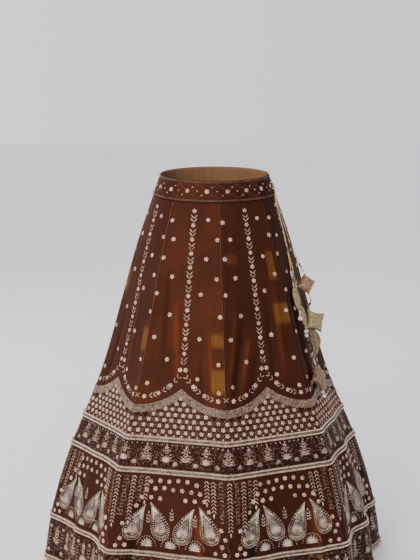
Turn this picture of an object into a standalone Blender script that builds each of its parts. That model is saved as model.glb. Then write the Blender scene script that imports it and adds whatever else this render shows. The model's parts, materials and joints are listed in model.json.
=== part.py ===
"""A floor-length lehenga skirt, filled out as it hangs from the waist.

Eight flared kalis hang from a slit waistband and flare like a bell, with a ridge along each seam.
A scalloped trim and four pearl laces lie on them. Two dori ends come out of the waistband's slit
and carry stuffed squares, stuffed leaves, a gathered tail and pearls.

Metres, +Z up. The origin is the middle of the waist at the waistband's top edge. The front seam is
at -Y. An azimuth is measured from the front seam towards +X, which is the wearer's left, and a drop
is the height below the waistband's top edge.
"""

import math

import bpy
import numpy as np
from mathutils import Matrix, Vector

# Driving sizes
SKIRT_LENGTH = 1.070
WAISTBAND_HEIGHT = 0.055
CLOTH_THICKNESS = 0.002
WAISTBAND_THICKNESS = 0.003
WAISTBAND_COLUMNS = 60
SEAM_GAP = 0.0003
TRIM_GAP = 0.0005
KALI_COUNT = 8
KALI_COLUMNS = 8
SLIT_AZIMUTH = 72.0
SLIT_WIDTH = 0.0056
FRONT_DIP = 0.008
FRONT_DIP_REACH = 0.40

# Bands of the border, each as the drop of its upper edge
SCALLOP_CUSP_DROP = 0.533
SCALLOP_VALLEY_DROP = 0.579
SCALLOP_TRIM_WIDTH = 0.020
SCALLOP_TRIM_THICKNESS = 0.0015
LACE_WIDTH = 0.015
LACE_THICKNESS = 0.0025
LACE_DROPS = {
    "pearl_lace_upper": 0.652,
    "pearl_lace_middle": 0.730,
    "pearl_lace_lower": 0.936,
    "pearl_lace_hem": 1.053,
}

# Dori and latkans
DORI_DIAMETER = 0.0034
DORI_POINT_SPACING = 0.009
RESTING_GAP = 0.0004

# Level sections of the skirt: drop, half width, depth over width, and how flat the kalis are
# between their seams, where 1 is a flat side and more than 1 is hollow
SECTIONS = (
    ("drop", "half_width", "depth_ratio", "flatness"),
    (0.000, 0.146, 0.76, 0.00),
    (0.055, 0.166, 0.78, 0.10),
    (0.180, 0.209, 0.82, 0.45),
    (0.340, 0.255, 0.86, 0.75),
    (0.500, 0.301, 0.88, 0.85),
    (0.580, 0.329, 0.89, 0.88),
    (0.660, 0.363, 0.90, 0.92),
    (0.740, 0.397, 0.90, 0.96),
    (0.840, 0.432, 0.90, 1.00),
    (0.940, 0.459, 0.90, 1.00),
    (1.070, 0.480, 0.90, 1.00),
)

# Drops of the rows of points down each kali; each lace's edges are among them
KALI_ROWS = (
    0.0553, 0.115, 0.180, 0.280, 0.380, 0.460, 0.533, 0.556, 0.579, 0.602, 0.652, 0.667,
    0.730, 0.745, 0.810, 0.873, 0.936, 0.951, 1.005, 1.053, 1.070,
)

# How each kali falls towards the hem: its hollow as a share of a flat side, which way the hollow
# leans (below 1 towards the kali's first seam), and its lesser waves
KALIS = (
    ("hollow", "lean", "wave", "wave_count", "wave_phase"),
    (0.72, 1.10, 0.005, 1.5, 0.6),
    (1.05, 1.00, 0.018, 2.0, 1.82),
    (1.05, 1.00, 0.008, 2.0, 0.3),
    (1.30, 1.15, 0.006, 1.5, 1.4),
    (0.95, 0.90, 0.008, 2.0, 2.8),
    (1.25, 1.05, 0.006, 1.5, 0.9),
    (1.34, 1.15, 0.007, 2.0, 1.9),
    (1.18, 0.95, 0.005, 1.5, 2.5),
)
# How far the hem stands out at each seam, and how far round it is swayed there in degrees, starting
# with the front seam
SEAM_STAND = (0.002, 0.016, 0.000, 0.012, -0.004, 0.014, 0.000, 0.000)
SEAM_SWAY = (0.0, -5.0, 0.0, 3.0, -2.0, -3.0, 2.0, 3.0)
HEM_FALL_START = 0.42
# How soon a kali leaves the rounded ridge at its seam, as a share of its hollow
SEAM_ROUNDING = 0.20

# Stuffed squares and leaves, as azimuth, drop, height of the middle above the cloth, size across,
# size down, thickness, turn in its own plane, and yaw, which faces it away from the cloth
HANGINGS = {
    "latkan_puff_1": (69.0, 0.2996, 0.0290, 0.042, 0.042, 0.027, 45.0, 38.0),
    "latkan_puff_2": (69.0, 0.4010, 0.0288, 0.056, 0.052, 0.028, -27.0, 40.0),
    "latkan_puff_3": (58.0, 0.5424, 0.0170, 0.051, 0.051, 0.026, 45.0, 10.0),
    "latkan_leaf_1": (57.0, 0.3285, 0.0088, 0.026, 0.064, 0.013, 3.0, 15.0),
    "latkan_leaf_2": (61.2, 0.3785, 0.0105, 0.024, 0.058, 0.012, 4.0, 18.0),
}

# Routes of the dori, as azimuth, drop and the height of the cord's line above the cloth. A row with
# a name is the place on that piece where the cord is tied, as shares of its half width and height
DORI_ROUTES = {
    "dori_long_upper": (
        (72.0, 0.020, -0.0010),
        (72.0, 0.021, 0.0058),
        (73.4, 0.029, 0.0088),
        (74.2, 0.042, 0.0062),
        (74.2, 0.070, 0.0026),
        (73.6, 0.130, 0.0026),
        (72.6, 0.183, 0.0060),
        (70.8, 0.228, 0.0160),
        ("latkan_puff_1", -1.0, -1.0),
    ),
    "dori_long_lower": (
        ("latkan_puff_1", 1.0, 1.0),
        (68.0, 0.3440, 0.0325),
        ("latkan_puff_2", 1.0, -1.0),
    ),
    "dori_short_left": (
        (72.0, 0.036, -0.0010),
        (72.0, 0.037, 0.0052),
        (70.8, 0.044, 0.0082),
        (69.6, 0.057, 0.0050),
        (68.6, 0.080, 0.0026),
        (67.0, 0.140, 0.0026),
        (64.5, 0.200, 0.0026),
        (61.2, 0.252, 0.0040),
        ("latkan_leaf_1", 0.0, -1.0),
    ),
    "dori_short_right": (
        (65.9, 0.196, 0.0026),
        (65.9, 0.208, 0.0026),
        (65.8, 0.250, 0.0030),
        (64.6, 0.300, 0.0044),
        (62.8, 0.331, 0.0070),
        ("latkan_leaf_2", 0.0, -1.0),
    ),
}

# Pearls strung down the cloth from a tie: the piece, the tie's shares, how far the string swings
# towards the front seam in degrees, and the diameters
DROPS = {
    "latkan_drop_leaf_1": ("latkan_leaf_1", 0.0, 1.0, 20.0, (0.0065, 0.0065, 0.0150)),
    "latkan_drop_leaf_2": ("latkan_leaf_2", 0.0, 1.0, 28.0, (0.0065, 0.0130, 0.0110)),
    "latkan_drop_puff_3": ("latkan_puff_3", 1.0, 1.0, 0.0, (0.0080, 0.0130)),
}
PEARL_SIDES = 8
PEARL_RINGS = 5
LEAF_SIDES = 8
LEAF_RINGS = 6

# The gathered tail between the second and the third square: its line, then the half width and half
# depth of its rings, from its wide top to its tied foot. Pearls link the foot to the third square
TAIL_LINE = (
    ("latkan_puff_2", 0.25, 0.985),
    (65.2, 0.456, 0.0235),
    (62.0, 0.480, 0.0200),
    ("latkan_puff_3", -1.50, -1.50),
)
TAIL_RINGS = (
    ("half_width", "half_depth"),
    (0.0165, 0.0080),
    (0.0180, 0.0090),
    (0.0150, 0.0084),
    (0.0100, 0.0070),
    (0.0066, 0.0056),
    (0.0046, 0.0046),
)
TAIL_SIDES = 14
TAIL_FLUTES = 7
TAIL_FLUTE_DEPTH = 0.16
LINK_PEARLS = 3

# Points across a stuffed square, how far its sides are drawn in, and how full its crown is
PUFF_GRID = 7
PUFF_DRAWN_IN = 0.10
PUFF_FULLNESS = 0.55


def table_column(table, name):
    """One named column of a table whose first row holds the column names."""
    index = table[0].index(name)
    return np.array([row[index] for row in table[1:]], float)


def through_points(at, knots, values):
    """A smooth curve through the knots, read at any place: a cubic with central slopes."""
    at = np.clip(np.asarray(at, float), knots[0], knots[-1])
    slopes = np.gradient(values, knots)
    left = np.clip(np.searchsorted(knots, at, side="right") - 1, 0, len(knots) - 2)
    span = knots[left + 1] - knots[left]
    t = (at - knots[left]) / span
    rise = values[left + 1] - values[left]
    start_slope = slopes[left] * span
    end_slope = slopes[left + 1] * span
    return (
        values[left]
        + start_slope * t
        + (3 * rise - 2 * start_slope - end_slope) * t**2
        + (start_slope + end_slope - 2 * rise) * t**3
    )


def section_value(name, drop):
    return through_points(drop, table_column(SECTIONS, "drop"), table_column(SECTIONS, name))


def smooth_step(value):
    value = np.clip(value, 0, 1)
    return value * value * (3 - 2 * value)


def between_seams(values, kali, across):
    """A value given at every seam, eased over a kali from its first seam to its second."""
    values = np.array(values)
    return values[kali] + (values[(kali + 1) % KALI_COUNT] - values[kali]) * smooth_step(across)


def skirt_surface(azimuth, drop):
    """The skirt's outer skin at an azimuth in radians and a drop, as points."""
    azimuth, drop = np.broadcast_arrays(np.asarray(azimuth, float), np.asarray(drop, float))
    kali_angle = 2 * math.pi / KALI_COUNT
    turns = np.mod(azimuth, 2 * math.pi) / kali_angle
    kali = np.minimum(turns.astype(int), KALI_COUNT - 1)
    across = turns - kali
    fall = smooth_step((drop - HEM_FALL_START) / (SKIRT_LENGTH - HEM_FALL_START))

    leaning = across ** table_column(KALIS, "lean")[kali]
    from_seams = 4 * leaning * (1 - leaning)
    rounded = from_seams * (1 - np.exp(-((from_seams / SEAM_ROUNDING) ** 2)))
    flat_side = 1 - math.cos(kali_angle / 2)
    hollow_at_hem = table_column(KALIS, "hollow")[kali]
    hollow = section_value("flatness", drop) * (1 + fall * (hollow_at_hem - 1))
    scale = 1 - flat_side * hollow * rounded

    stand = between_seams(SEAM_STAND, kali, across)
    sway = np.radians(between_seams(SEAM_SWAY, kali, across)) * fall
    wave_angle = (
        2 * math.pi * table_column(KALIS, "wave_count")[kali] * across
        + table_column(KALIS, "wave_phase")[kali]
    )
    wave = table_column(KALIS, "wave")[kali] * np.sin(wave_angle) * np.sin(math.pi * across)
    half_width = section_value("half_width", drop)
    scale = scale + fall * (stand + wave * fall) / half_width

    half_depth = half_width * section_value("depth_ratio", drop)
    dip = FRONT_DIP * np.cos(azimuth) * (1 - smooth_step(drop / FRONT_DIP_REACH))
    return np.stack(
        [
            half_width * scale * np.sin(azimuth + sway),
            -half_depth * scale * np.cos(azimuth + sway),
            -drop - dip,
        ],
        axis=-1,
    )


def unit(vectors):
    return vectors / np.linalg.norm(vectors, axis=-1, keepdims=True)


def skirt_normal(azimuth, drop):
    """The outward direction; at a seam it is the direction midway between the two kalis."""
    turn, fall = math.radians(0.6), 0.002
    along = skirt_surface(azimuth + turn, drop) - skirt_surface(azimuth - turn, drop)
    down = skirt_surface(azimuth, drop + fall) - skirt_surface(azimuth, drop - fall)
    return unit(np.cross(down, along))


def material(name, colour, roughness, metallic=0.0):
    """A Principled BSDF material from a linear colour."""
    made = bpy.data.materials.new(name)
    made.use_nodes = True
    shader = made.node_tree.nodes["Principled BSDF"]
    shader.inputs["Base Color"].default_value = (*colour, 1.0)
    shader.inputs["Roughness"].default_value = roughness
    shader.inputs["Metallic"].default_value = metallic
    return made


def add_object(name, mesh, finish):
    made = bpy.data.objects.new(name, mesh)
    bpy.context.scene.collection.objects.link(made)
    made.data.materials.append(finish)
    return made


def grid_faces(rows, columns, start, closed, outward):
    """The quads of a grid of points that is numbered row by row from start."""
    faces = []
    for row in range(rows - 1):
        for column in range(columns if closed else columns - 1):
            after = (column + 1) % columns
            upper_left = start + row * columns + column
            upper_right = start + row * columns + after
            lower_left = upper_left + columns
            lower_right = upper_right + columns
            quad = (upper_left, lower_left, lower_right, upper_right)
            faces.append(quad if outward else quad[::-1])
    return faces


def wall_faces(rows, columns, closed):
    """The faces of a closed wall: an outer grid, an inner grid, and the rims between them."""
    inner = rows * columns
    faces = grid_faces(rows, columns, 0, closed, True)
    faces += grid_faces(rows, columns, inner, closed, False)
    last_row = (rows - 1) * columns
    for column in range(columns if closed else columns - 1):
        after = (column + 1) % columns
        faces.append((column, after, inner + after, inner + column))
        faces.append(
            (
                last_row + after,
                last_row + column,
                inner + last_row + column,
                inner + last_row + after,
            )
        )
    if not closed:
        for row in range(rows - 1):
            left, next_left = row * columns, (row + 1) * columns
            right, next_right = left + columns - 1, next_left + columns - 1
            faces.append((left, inner + left, inner + next_left, next_left))
            faces.append((right, next_right, inner + next_right, inner + right))
    return faces


def cloth_wall(name, azimuth, drop, outer_lift, inner_lift, closed, finish):
    """A wall of cloth between two heights above the skirt's skin, over a grid of places."""
    surface = skirt_surface(azimuth, drop)
    normal = skirt_normal(azimuth, drop)
    points = np.concatenate(
        [
            (surface + normal * outer_lift).reshape(-1, 3),
            (surface + normal * inner_lift).reshape(-1, 3),
        ]
    )
    mesh = bpy.data.meshes.new(name)
    mesh.from_pydata(points.tolist(), [], wall_faces(*surface.shape[:2], closed))
    mesh.update()
    made = add_object(name, mesh, finish)
    shade(mesh)
    return made


def shade(mesh):
    mesh.shade_smooth()
    mesh.set_sharp_from_angle(angle=math.radians(35))


def make_kali(number, finish):
    """One flared panel, from the waistband's lower edge to the hem, half a gap clear of its seams."""
    kali_angle = 2 * math.pi / KALI_COUNT
    share = np.linspace(0, 1, KALI_COLUMNS + 1)
    drop = np.array(KALI_ROWS)[:, None]
    clear = SEAM_GAP / 2 / (section_value("half_width", drop) * section_value("depth_ratio", drop))
    first = number * kali_angle + clear
    last = (number + 1) * kali_angle - clear
    azimuth = first + (last - first) * share
    drop = np.broadcast_to(drop, azimuth.shape)
    return cloth_wall(f"kali_{number + 1}", azimuth, drop, 0.0, -CLOTH_THICKNESS, False, finish)


def make_waistband(finish):
    """A strip round the waist whose two ends meet at the slit where the dori comes out."""
    half_slit = SLIT_WIDTH / 2 / float(section_value("half_width", 0.03))
    start = math.radians(SLIT_AZIMUTH) + half_slit
    end = math.radians(SLIT_AZIMUTH) + 2 * math.pi - half_slit
    azimuth = np.linspace(start, end, WAISTBAND_COLUMNS + 1)[None, :]
    drop = np.array([0.0, WAISTBAND_HEIGHT / 2, WAISTBAND_HEIGHT])[:, None]
    azimuth, drop = np.broadcast_arrays(azimuth, drop)
    proud = WAISTBAND_THICKNESS - CLOTH_THICKNESS
    return cloth_wall("waistband", azimuth, drop, proud, -CLOTH_THICKNESS, False, finish)


def ring_azimuths():
    """The azimuths of every column of points round the skirt, the seams among them."""
    count = KALI_COUNT * KALI_COLUMNS
    return np.arange(count) * 2 * math.pi / count


def make_lace(name, upper_drop, finish):
    """A pearl lace laid round the skirt, from the kalis' own points moved out."""
    azimuth = ring_azimuths()[None, :]
    drop = np.array([upper_drop, upper_drop + LACE_WIDTH])[:, None]
    azimuth, drop = np.broadcast_arrays(azimuth, drop)
    outer = TRIM_GAP + LACE_THICKNESS
    return cloth_wall(name, azimuth, drop, outer, TRIM_GAP, True, finish)


def scallop_drop(azimuth):
    """The scalloped edge: a parabola low on each seam, rising to a cusp at each kali's middle."""
    kali_angle = 2 * math.pi / KALI_COUNT
    across = np.mod(azimuth / kali_angle, 1)
    from_seam = 2 * np.minimum(across, 1 - across)
    return SCALLOP_VALLEY_DROP - (SCALLOP_VALLEY_DROP - SCALLOP_CUSP_DROP) * from_seam**2


def make_scallop_trim(finish):
    """The dense trim along the scalloped edge, kept as wide where the edge slants."""
    azimuth = ring_azimuths()
    upper = scallop_drop(azimuth)
    step = math.radians(0.5)
    radius = section_value("half_width", upper)
    slope = (scallop_drop(azimuth + step) - scallop_drop(azimuth - step)) / (2 * step * radius)
    lower = upper + SCALLOP_TRIM_WIDTH * np.sqrt(1 + slope**2)
    drop = np.stack([upper, (upper + lower) / 2, lower])
    azimuth = np.broadcast_to(azimuth[None, :], drop.shape)
    outer = TRIM_GAP + SCALLOP_TRIM_THICKNESS
    return cloth_wall("scallop_trim", azimuth, drop, outer, TRIM_GAP, True, finish)


def cloth_frame(azimuth_degrees, drop, height):
    """A placing matrix on the cloth: X across it, Y down it, Z out of it."""
    azimuth = math.radians(azimuth_degrees)
    place = skirt_surface(azimuth, drop)
    out = skirt_normal(azimuth, drop)
    down = unit(skirt_surface(azimuth, drop + 0.01) - skirt_surface(azimuth, drop - 0.01))
    down = unit(down - out * np.dot(down, out))
    across = np.cross(down, out)
    matrix = Matrix([list(across), list(down), list(out)]).transposed().to_4x4()
    matrix.translation = Vector(place + out * height)
    return matrix


def upright_frame(name):
    """A hanging piece's frame before it is turned in its own plane."""
    azimuth, drop, height, _across, _down, _thickness, _turn, yaw = HANGINGS[name]
    return cloth_frame(azimuth, drop, height) @ Matrix.Rotation(math.radians(yaw), 4, "Y")


def hanging_frame(name):
    turn = HANGINGS[name][6]
    return upright_frame(name) @ Matrix.Rotation(math.radians(turn), 4, "Z")


def tie_point(name, share_across, share_down):
    """A place on a hanging piece's edge, a resting gap outside it."""
    frame = hanging_frame(name)
    _azimuth, _drop, _height, across, down, *_rest = HANGINGS[name]
    edge = frame @ Vector((share_across * across / 2, share_down * down / 2, 0.0))
    return edge + (edge - frame.translation).normalized() * RESTING_GAP


def route_knot(row):
    if isinstance(row[0], str):
        return np.array(tie_point(*row))
    azimuth, drop, height = math.radians(row[0]), row[1], row[2]
    return skirt_surface(azimuth, drop) + skirt_normal(azimuth, drop) * height


def line_points(rows, count):
    """Evenly spaced points on a smooth line through a route's own points."""
    knots = np.array([route_knot(row) for row in rows])
    lengths = np.linalg.norm(np.diff(knots, axis=0), axis=1)
    along = np.concatenate([[0], np.cumsum(lengths)])
    if count is None:
        count = max(4, int(round(along[-1] / DORI_POINT_SPACING)) + 1)
    at = np.linspace(0, along[-1], count)
    return np.stack([through_points(at, along, knots[:, axis]) for axis in range(3)], axis=1)


def make_dori(name, route, finish):
    """A round cord along its route, with filled ends."""
    curve = bpy.data.curves.new(name, "CURVE")
    curve.dimensions = "3D"
    curve.bevel_depth = DORI_DIAMETER / 2
    curve.bevel_resolution = 2
    curve.use_fill_caps = True
    spline = curve.splines.new("POLY")
    points = line_points(route, None)
    spline.points.add(len(points) - 1)
    for point, place in zip(spline.points, points):
        point.co = (*place, 1.0)
    return add_object(name, curve, finish)


def puff_mesh(name, across, down, thickness):
    """A stuffed square: two crowned sheets that meet in a sharp edge, its sides drawn in."""
    count = PUFF_GRID
    u, v = np.meshgrid(np.linspace(-1, 1, count), np.linspace(-1, 1, count))
    x = across / 2 * u * (1 - PUFF_DRAWN_IN * (1 - v**2) * np.abs(u))
    y = down / 2 * v * (1 - PUFF_DRAWN_IN * (1 - u**2) * np.abs(v))
    crown = thickness / 2 * ((1 - u**4) * (1 - v**4)) ** PUFF_FULLNESS
    front = np.stack([x, y, crown], axis=-1).reshape(-1, 3)
    inside = ((np.abs(u) < 1) & (np.abs(v) < 1)).reshape(-1)
    back_number = np.arange(count * count)
    back_number[inside] = count * count + np.arange(inside.sum())
    points = np.concatenate([front, front[inside] * (1, 1, -1)])
    front_faces = grid_faces(count, count, 0, False, False)
    back_faces = [tuple(int(back_number[i]) for i in face[::-1]) for face in front_faces]
    mesh = bpy.data.meshes.new(name)
    mesh.from_pydata(points.tolist(), [], front_faces + back_faces)
    shade(mesh)
    return mesh


def make_puff(name, finish):
    _azimuth, _drop, _height, across, down, thickness, *_turns = HANGINGS[name]
    made = add_object(name, puff_mesh(name, across, down, thickness), finish)
    made.matrix_world = hanging_frame(name)
    return made


def spindle_mesh(name, length, width, thickness, sides, rings):
    """A closed spindle along Y: rings of an oval whose size follows a sine, closed by two poles."""
    angle = np.arange(sides) * 2 * math.pi / sides
    share = (np.arange(rings) + 1) / (rings + 1)
    size = np.sin(math.pi * share)
    place = -length / 2 * np.cos(math.pi * share)
    x = np.outer(size, np.cos(angle)) * width / 2
    z = np.outer(size, np.sin(angle)) * thickness / 2
    y = np.broadcast_to(place[:, None], x.shape)
    points = np.stack([x, y, z], axis=-1).reshape(-1, 3).tolist()
    points += [[0, -length / 2, 0], [0, length / 2, 0]]
    faces = grid_faces(rings, sides, 0, True, True)
    top, foot, last = len(points) - 2, len(points) - 1, (rings - 1) * sides
    for side in range(sides):
        after = (side + 1) % sides
        faces.append((top, side, after))
        faces.append((foot, last + after, last + side))
    mesh = bpy.data.meshes.new(name)
    mesh.from_pydata(points, [], faces)
    shade(mesh)
    return mesh


def make_leaf(name, finish):
    _azimuth, _drop, _height, across, down, thickness, *_turns = HANGINGS[name]
    mesh = spindle_mesh(name, down, across, thickness, LEAF_SIDES, LEAF_RINGS)
    made = add_object(name, mesh, finish)
    made.matrix_world = hanging_frame(name)
    return made


def make_pearl(name, place, diameter, finish):
    mesh = spindle_mesh(name, diameter, diameter, diameter, PEARL_SIDES, PEARL_RINGS)
    made = add_object(name, mesh, finish)
    made.matrix_world = Matrix.Translation(place) @ Matrix.Rotation(math.radians(90), 4, "X")
    return made


def make_drop(name, piece, share_across, share_down, swing, diameters, finish):
    """Pearls one under another down the cloth's slope, each a resting gap from the last."""
    azimuth, drop = HANGINGS[piece][:2]
    swung = cloth_frame(azimuth, drop, 0.0) @ Matrix.Rotation(math.radians(-swing), 4, "Z")
    down = swung.col[1].to_3d()
    place = tie_point(piece, share_across, share_down)
    for number, diameter in enumerate(diameters, 1):
        place = place + down * (diameter / 2)
        make_pearl(f"{name}_pearl_{number}", place, diameter, finish)
        place = place + down * (diameter / 2 + RESTING_GAP)


def make_link(start, end, finish):
    """Like pearls in a straight line that fill the way between two ties."""
    way = end - start
    pitch = way.length / LINK_PEARLS
    for number in range(LINK_PEARLS):
        place = start + way.normalized() * pitch * (number + 0.5)
        make_pearl(f"latkan_link_pearl_{number + 1}", place, pitch - RESTING_GAP, finish)


def make_tail(cloth, pearl):
    """The gathered tail: fluted rings that turn from one square's plane to the next one's."""
    rings = len(TAIL_RINGS) - 1
    line = line_points(TAIL_LINE, rings)
    first, last = hanging_frame(TAIL_LINE[0][0]), upright_frame(TAIL_LINE[-1][0])
    share = np.linspace(0, 1, rings)[:, None]
    across, out = (
        unit((1 - share) * np.array(first.col[axis].to_3d()) + share * np.array(last.col[axis].to_3d()))
        for axis in (0, 2)
    )
    angle = np.arange(TAIL_SIDES) * 2 * math.pi / TAIL_SIDES
    flute = 1 + TAIL_FLUTE_DEPTH * np.cos(TAIL_FLUTES * angle)
    wide = np.outer(table_column(TAIL_RINGS, "half_width"), flute * np.cos(angle))
    deep = np.outer(table_column(TAIL_RINGS, "half_depth"), flute * np.sin(angle))
    points = (
        line[:, None, :] + wide[..., None] * across[:, None, :] + deep[..., None] * out[:, None, :]
    )
    faces = grid_faces(rings, TAIL_SIDES, 0, True, True)
    faces.append(tuple(range(TAIL_SIDES)))
    foot_ring = (rings - 1) * TAIL_SIDES
    faces.append(tuple(foot_ring + side for side in reversed(range(TAIL_SIDES))))
    mesh = bpy.data.meshes.new("latkan_tail")
    mesh.from_pydata(points.reshape(-1, 3).tolist(), [], faces)
    shade(mesh)
    add_object("latkan_tail", mesh, cloth)
    foot = Vector(line[-1]) + Vector(line[-1] - line[-2]).normalized() * RESTING_GAP
    make_link(foot, tie_point("latkan_puff_3", -1.0, -1.0), pearl)


def main():
    for leftover in list(bpy.data.objects):
        bpy.data.objects.remove(leftover)

    velvet = material("brown_velvet", (0.112, 0.030, 0.014), 0.55)
    band = material("embroidered_waistband", (0.150, 0.060, 0.030), 0.60)
    pearl_lace = material("pearl_lace", (0.520, 0.380, 0.300), 0.35)
    bead_trim = material("bead_trim", (0.330, 0.230, 0.180), 0.45)
    cord_silk = material("cord_silk", (0.480, 0.360, 0.220), 0.50)
    brocade = material("gold_brocade", (0.420, 0.310, 0.150), 0.45, 0.2)
    pearl = material("pearl", (0.620, 0.580, 0.520), 0.20)

    make_waistband(band)
    for number in range(KALI_COUNT):
        make_kali(number, velvet)
    make_scallop_trim(bead_trim)
    for name, upper_drop in LACE_DROPS.items():
        make_lace(name, upper_drop, pearl_lace)
    for name, route in DORI_ROUTES.items():
        make_dori(name, route, cord_silk)
    for name in HANGINGS:
        make_piece = make_puff if "puff" in name else make_leaf
        make_piece(name, brocade)
    for name, row in DROPS.items():
        make_drop(name, *row, pearl)
    make_tail(brocade, pearl)


main()
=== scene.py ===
"""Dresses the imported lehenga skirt: velvet kalis, zari embroidery, pearl laces, dori and latkans.

Metres, +Z up. The origin is the middle of the waist at the waistband's top edge, and the front seam
is at -Y. A place on the cloth is an azimuth in radians from the front seam towards +X, a drop below
the waistband's top edge, and a lift out of the cloth.
"""

import json
import math
from collections import namedtuple

import bpy
import numpy as np
from mathutils import Matrix, Vector

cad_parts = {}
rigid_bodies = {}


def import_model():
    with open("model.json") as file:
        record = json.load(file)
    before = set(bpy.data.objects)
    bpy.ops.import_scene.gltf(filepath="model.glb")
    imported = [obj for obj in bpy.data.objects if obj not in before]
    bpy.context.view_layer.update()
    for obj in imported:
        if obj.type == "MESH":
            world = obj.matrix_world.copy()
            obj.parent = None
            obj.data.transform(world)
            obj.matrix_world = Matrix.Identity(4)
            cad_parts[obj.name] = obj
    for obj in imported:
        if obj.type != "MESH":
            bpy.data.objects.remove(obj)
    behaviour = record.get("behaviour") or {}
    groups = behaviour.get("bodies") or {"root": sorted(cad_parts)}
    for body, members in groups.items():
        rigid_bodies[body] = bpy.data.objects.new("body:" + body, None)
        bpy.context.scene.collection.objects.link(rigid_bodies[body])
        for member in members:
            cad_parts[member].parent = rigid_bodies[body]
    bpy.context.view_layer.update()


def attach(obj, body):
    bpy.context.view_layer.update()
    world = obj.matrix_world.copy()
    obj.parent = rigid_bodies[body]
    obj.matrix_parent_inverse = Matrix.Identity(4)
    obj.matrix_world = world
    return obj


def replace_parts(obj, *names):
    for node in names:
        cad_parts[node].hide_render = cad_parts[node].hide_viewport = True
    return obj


bl_info = {
    "name": "Lehenga skirt",
    "version": (1, 0, 0),
    "blender": (4, 5, 0),
    "location": "View3D > Sidebar > Lehenga",
    "description": "Makes a velvet lehenga skirt with zari embroidery, pearl laces and latkans",
    "category": "Object",
}

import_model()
BODY = "root"

# Sizes in metres; azimuths and turns in these tables are in degrees
SKIRT_LENGTH = 1.070
WAISTBAND_HEIGHT = 0.055
CLOTH_THICKNESS = 0.002
WAISTBAND_PROUD = 0.001
SEAM_GAP = 0.0003
KALI_COUNT = 8
KALI_ANGLE = 2 * math.pi / KALI_COUNT
SEAMS = np.arange(KALI_COUNT) * KALI_ANGLE
MIDDLES = SEAMS + KALI_ANGLE / 2
KALI_COLUMNS = 60
KALI_ROWS = 132
# How much closer a kali's columns stand at its seams than at its middle
COLUMN_CROWDING = 0.75
SLIT_AZIMUTH = 72.0
SLIT_WIDTH = 0.0056
FRONT_DIP = 0.008
FRONT_DIP_REACH = 0.40
SCALLOP_CUSP_DROP = 0.533
SCALLOP_VALLEY_DROP = 0.579
SCALLOP_TRIM_WIDTH = 0.020
LACE_WIDTH = 0.015
LACE_DROPS = {"upper": 0.652, "middle": 0.730, "lower": 0.936, "hem": 1.053}
HEM_FALL_START = 0.42
SEAM_ROUNDING = 0.20
DORI_DIAMETER = 0.0034
DORI_STEP = 0.0012
RESTING_GAP = 0.0004
EMBROIDERY_LIFT = 0.0003

# Level sections of the skirt
SECTIONS = (
    ("drop", "half_width", "depth_ratio", "flatness"),
    (0.000, 0.146, 0.76, 0.00),
    (0.055, 0.166, 0.78, 0.10),
    (0.180, 0.209, 0.82, 0.45),
    (0.340, 0.255, 0.86, 0.75),
    (0.500, 0.301, 0.88, 0.85),
    (0.580, 0.329, 0.89, 0.88),
    (0.660, 0.363, 0.90, 0.92),
    (0.740, 0.397, 0.90, 0.96),
    (0.840, 0.432, 0.90, 1.00),
    (0.940, 0.459, 0.90, 1.00),
    (1.070, 0.480, 0.90, 1.00),
)
# How each kali falls towards the hem, and how light its velvet looks: the tones differ by the
# pile's nap, and kali_2's low tone is painted shade
KALIS = (
    ("hollow", "lean", "wave", "wave_count", "wave_phase", "tone"),
    (0.72, 1.10, 0.005, 1.5, 0.6, 0.47),
    # kali_2: painted shade, a low tone for the side that turns away from the light
    (1.05, 1.00, 0.018, 2.0, 1.82, 0.28),
    (1.05, 1.00, 0.008, 2.0, 0.3, 0.42),
    (1.30, 1.15, 0.006, 1.5, 1.4, 0.50),
    (0.95, 0.90, 0.008, 2.0, 2.8, 0.46),
    (1.25, 1.05, 0.006, 1.5, 0.9, 0.52),
    (1.34, 1.15, 0.007, 2.0, 1.9, 0.48),
    (1.18, 0.95, 0.005, 1.5, 2.5, 0.60),
)
# How far each seam stands out at the hem in metres, and how far it sways in degrees
SEAM_STAND = (0.002, 0.016, 0.000, 0.012, -0.004, 0.014, 0.000, 0.000)
SEAM_SWAY = (0.0, -5.0, 0.0, 3.0, -2.0, -3.0, 2.0, 3.0)

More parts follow.
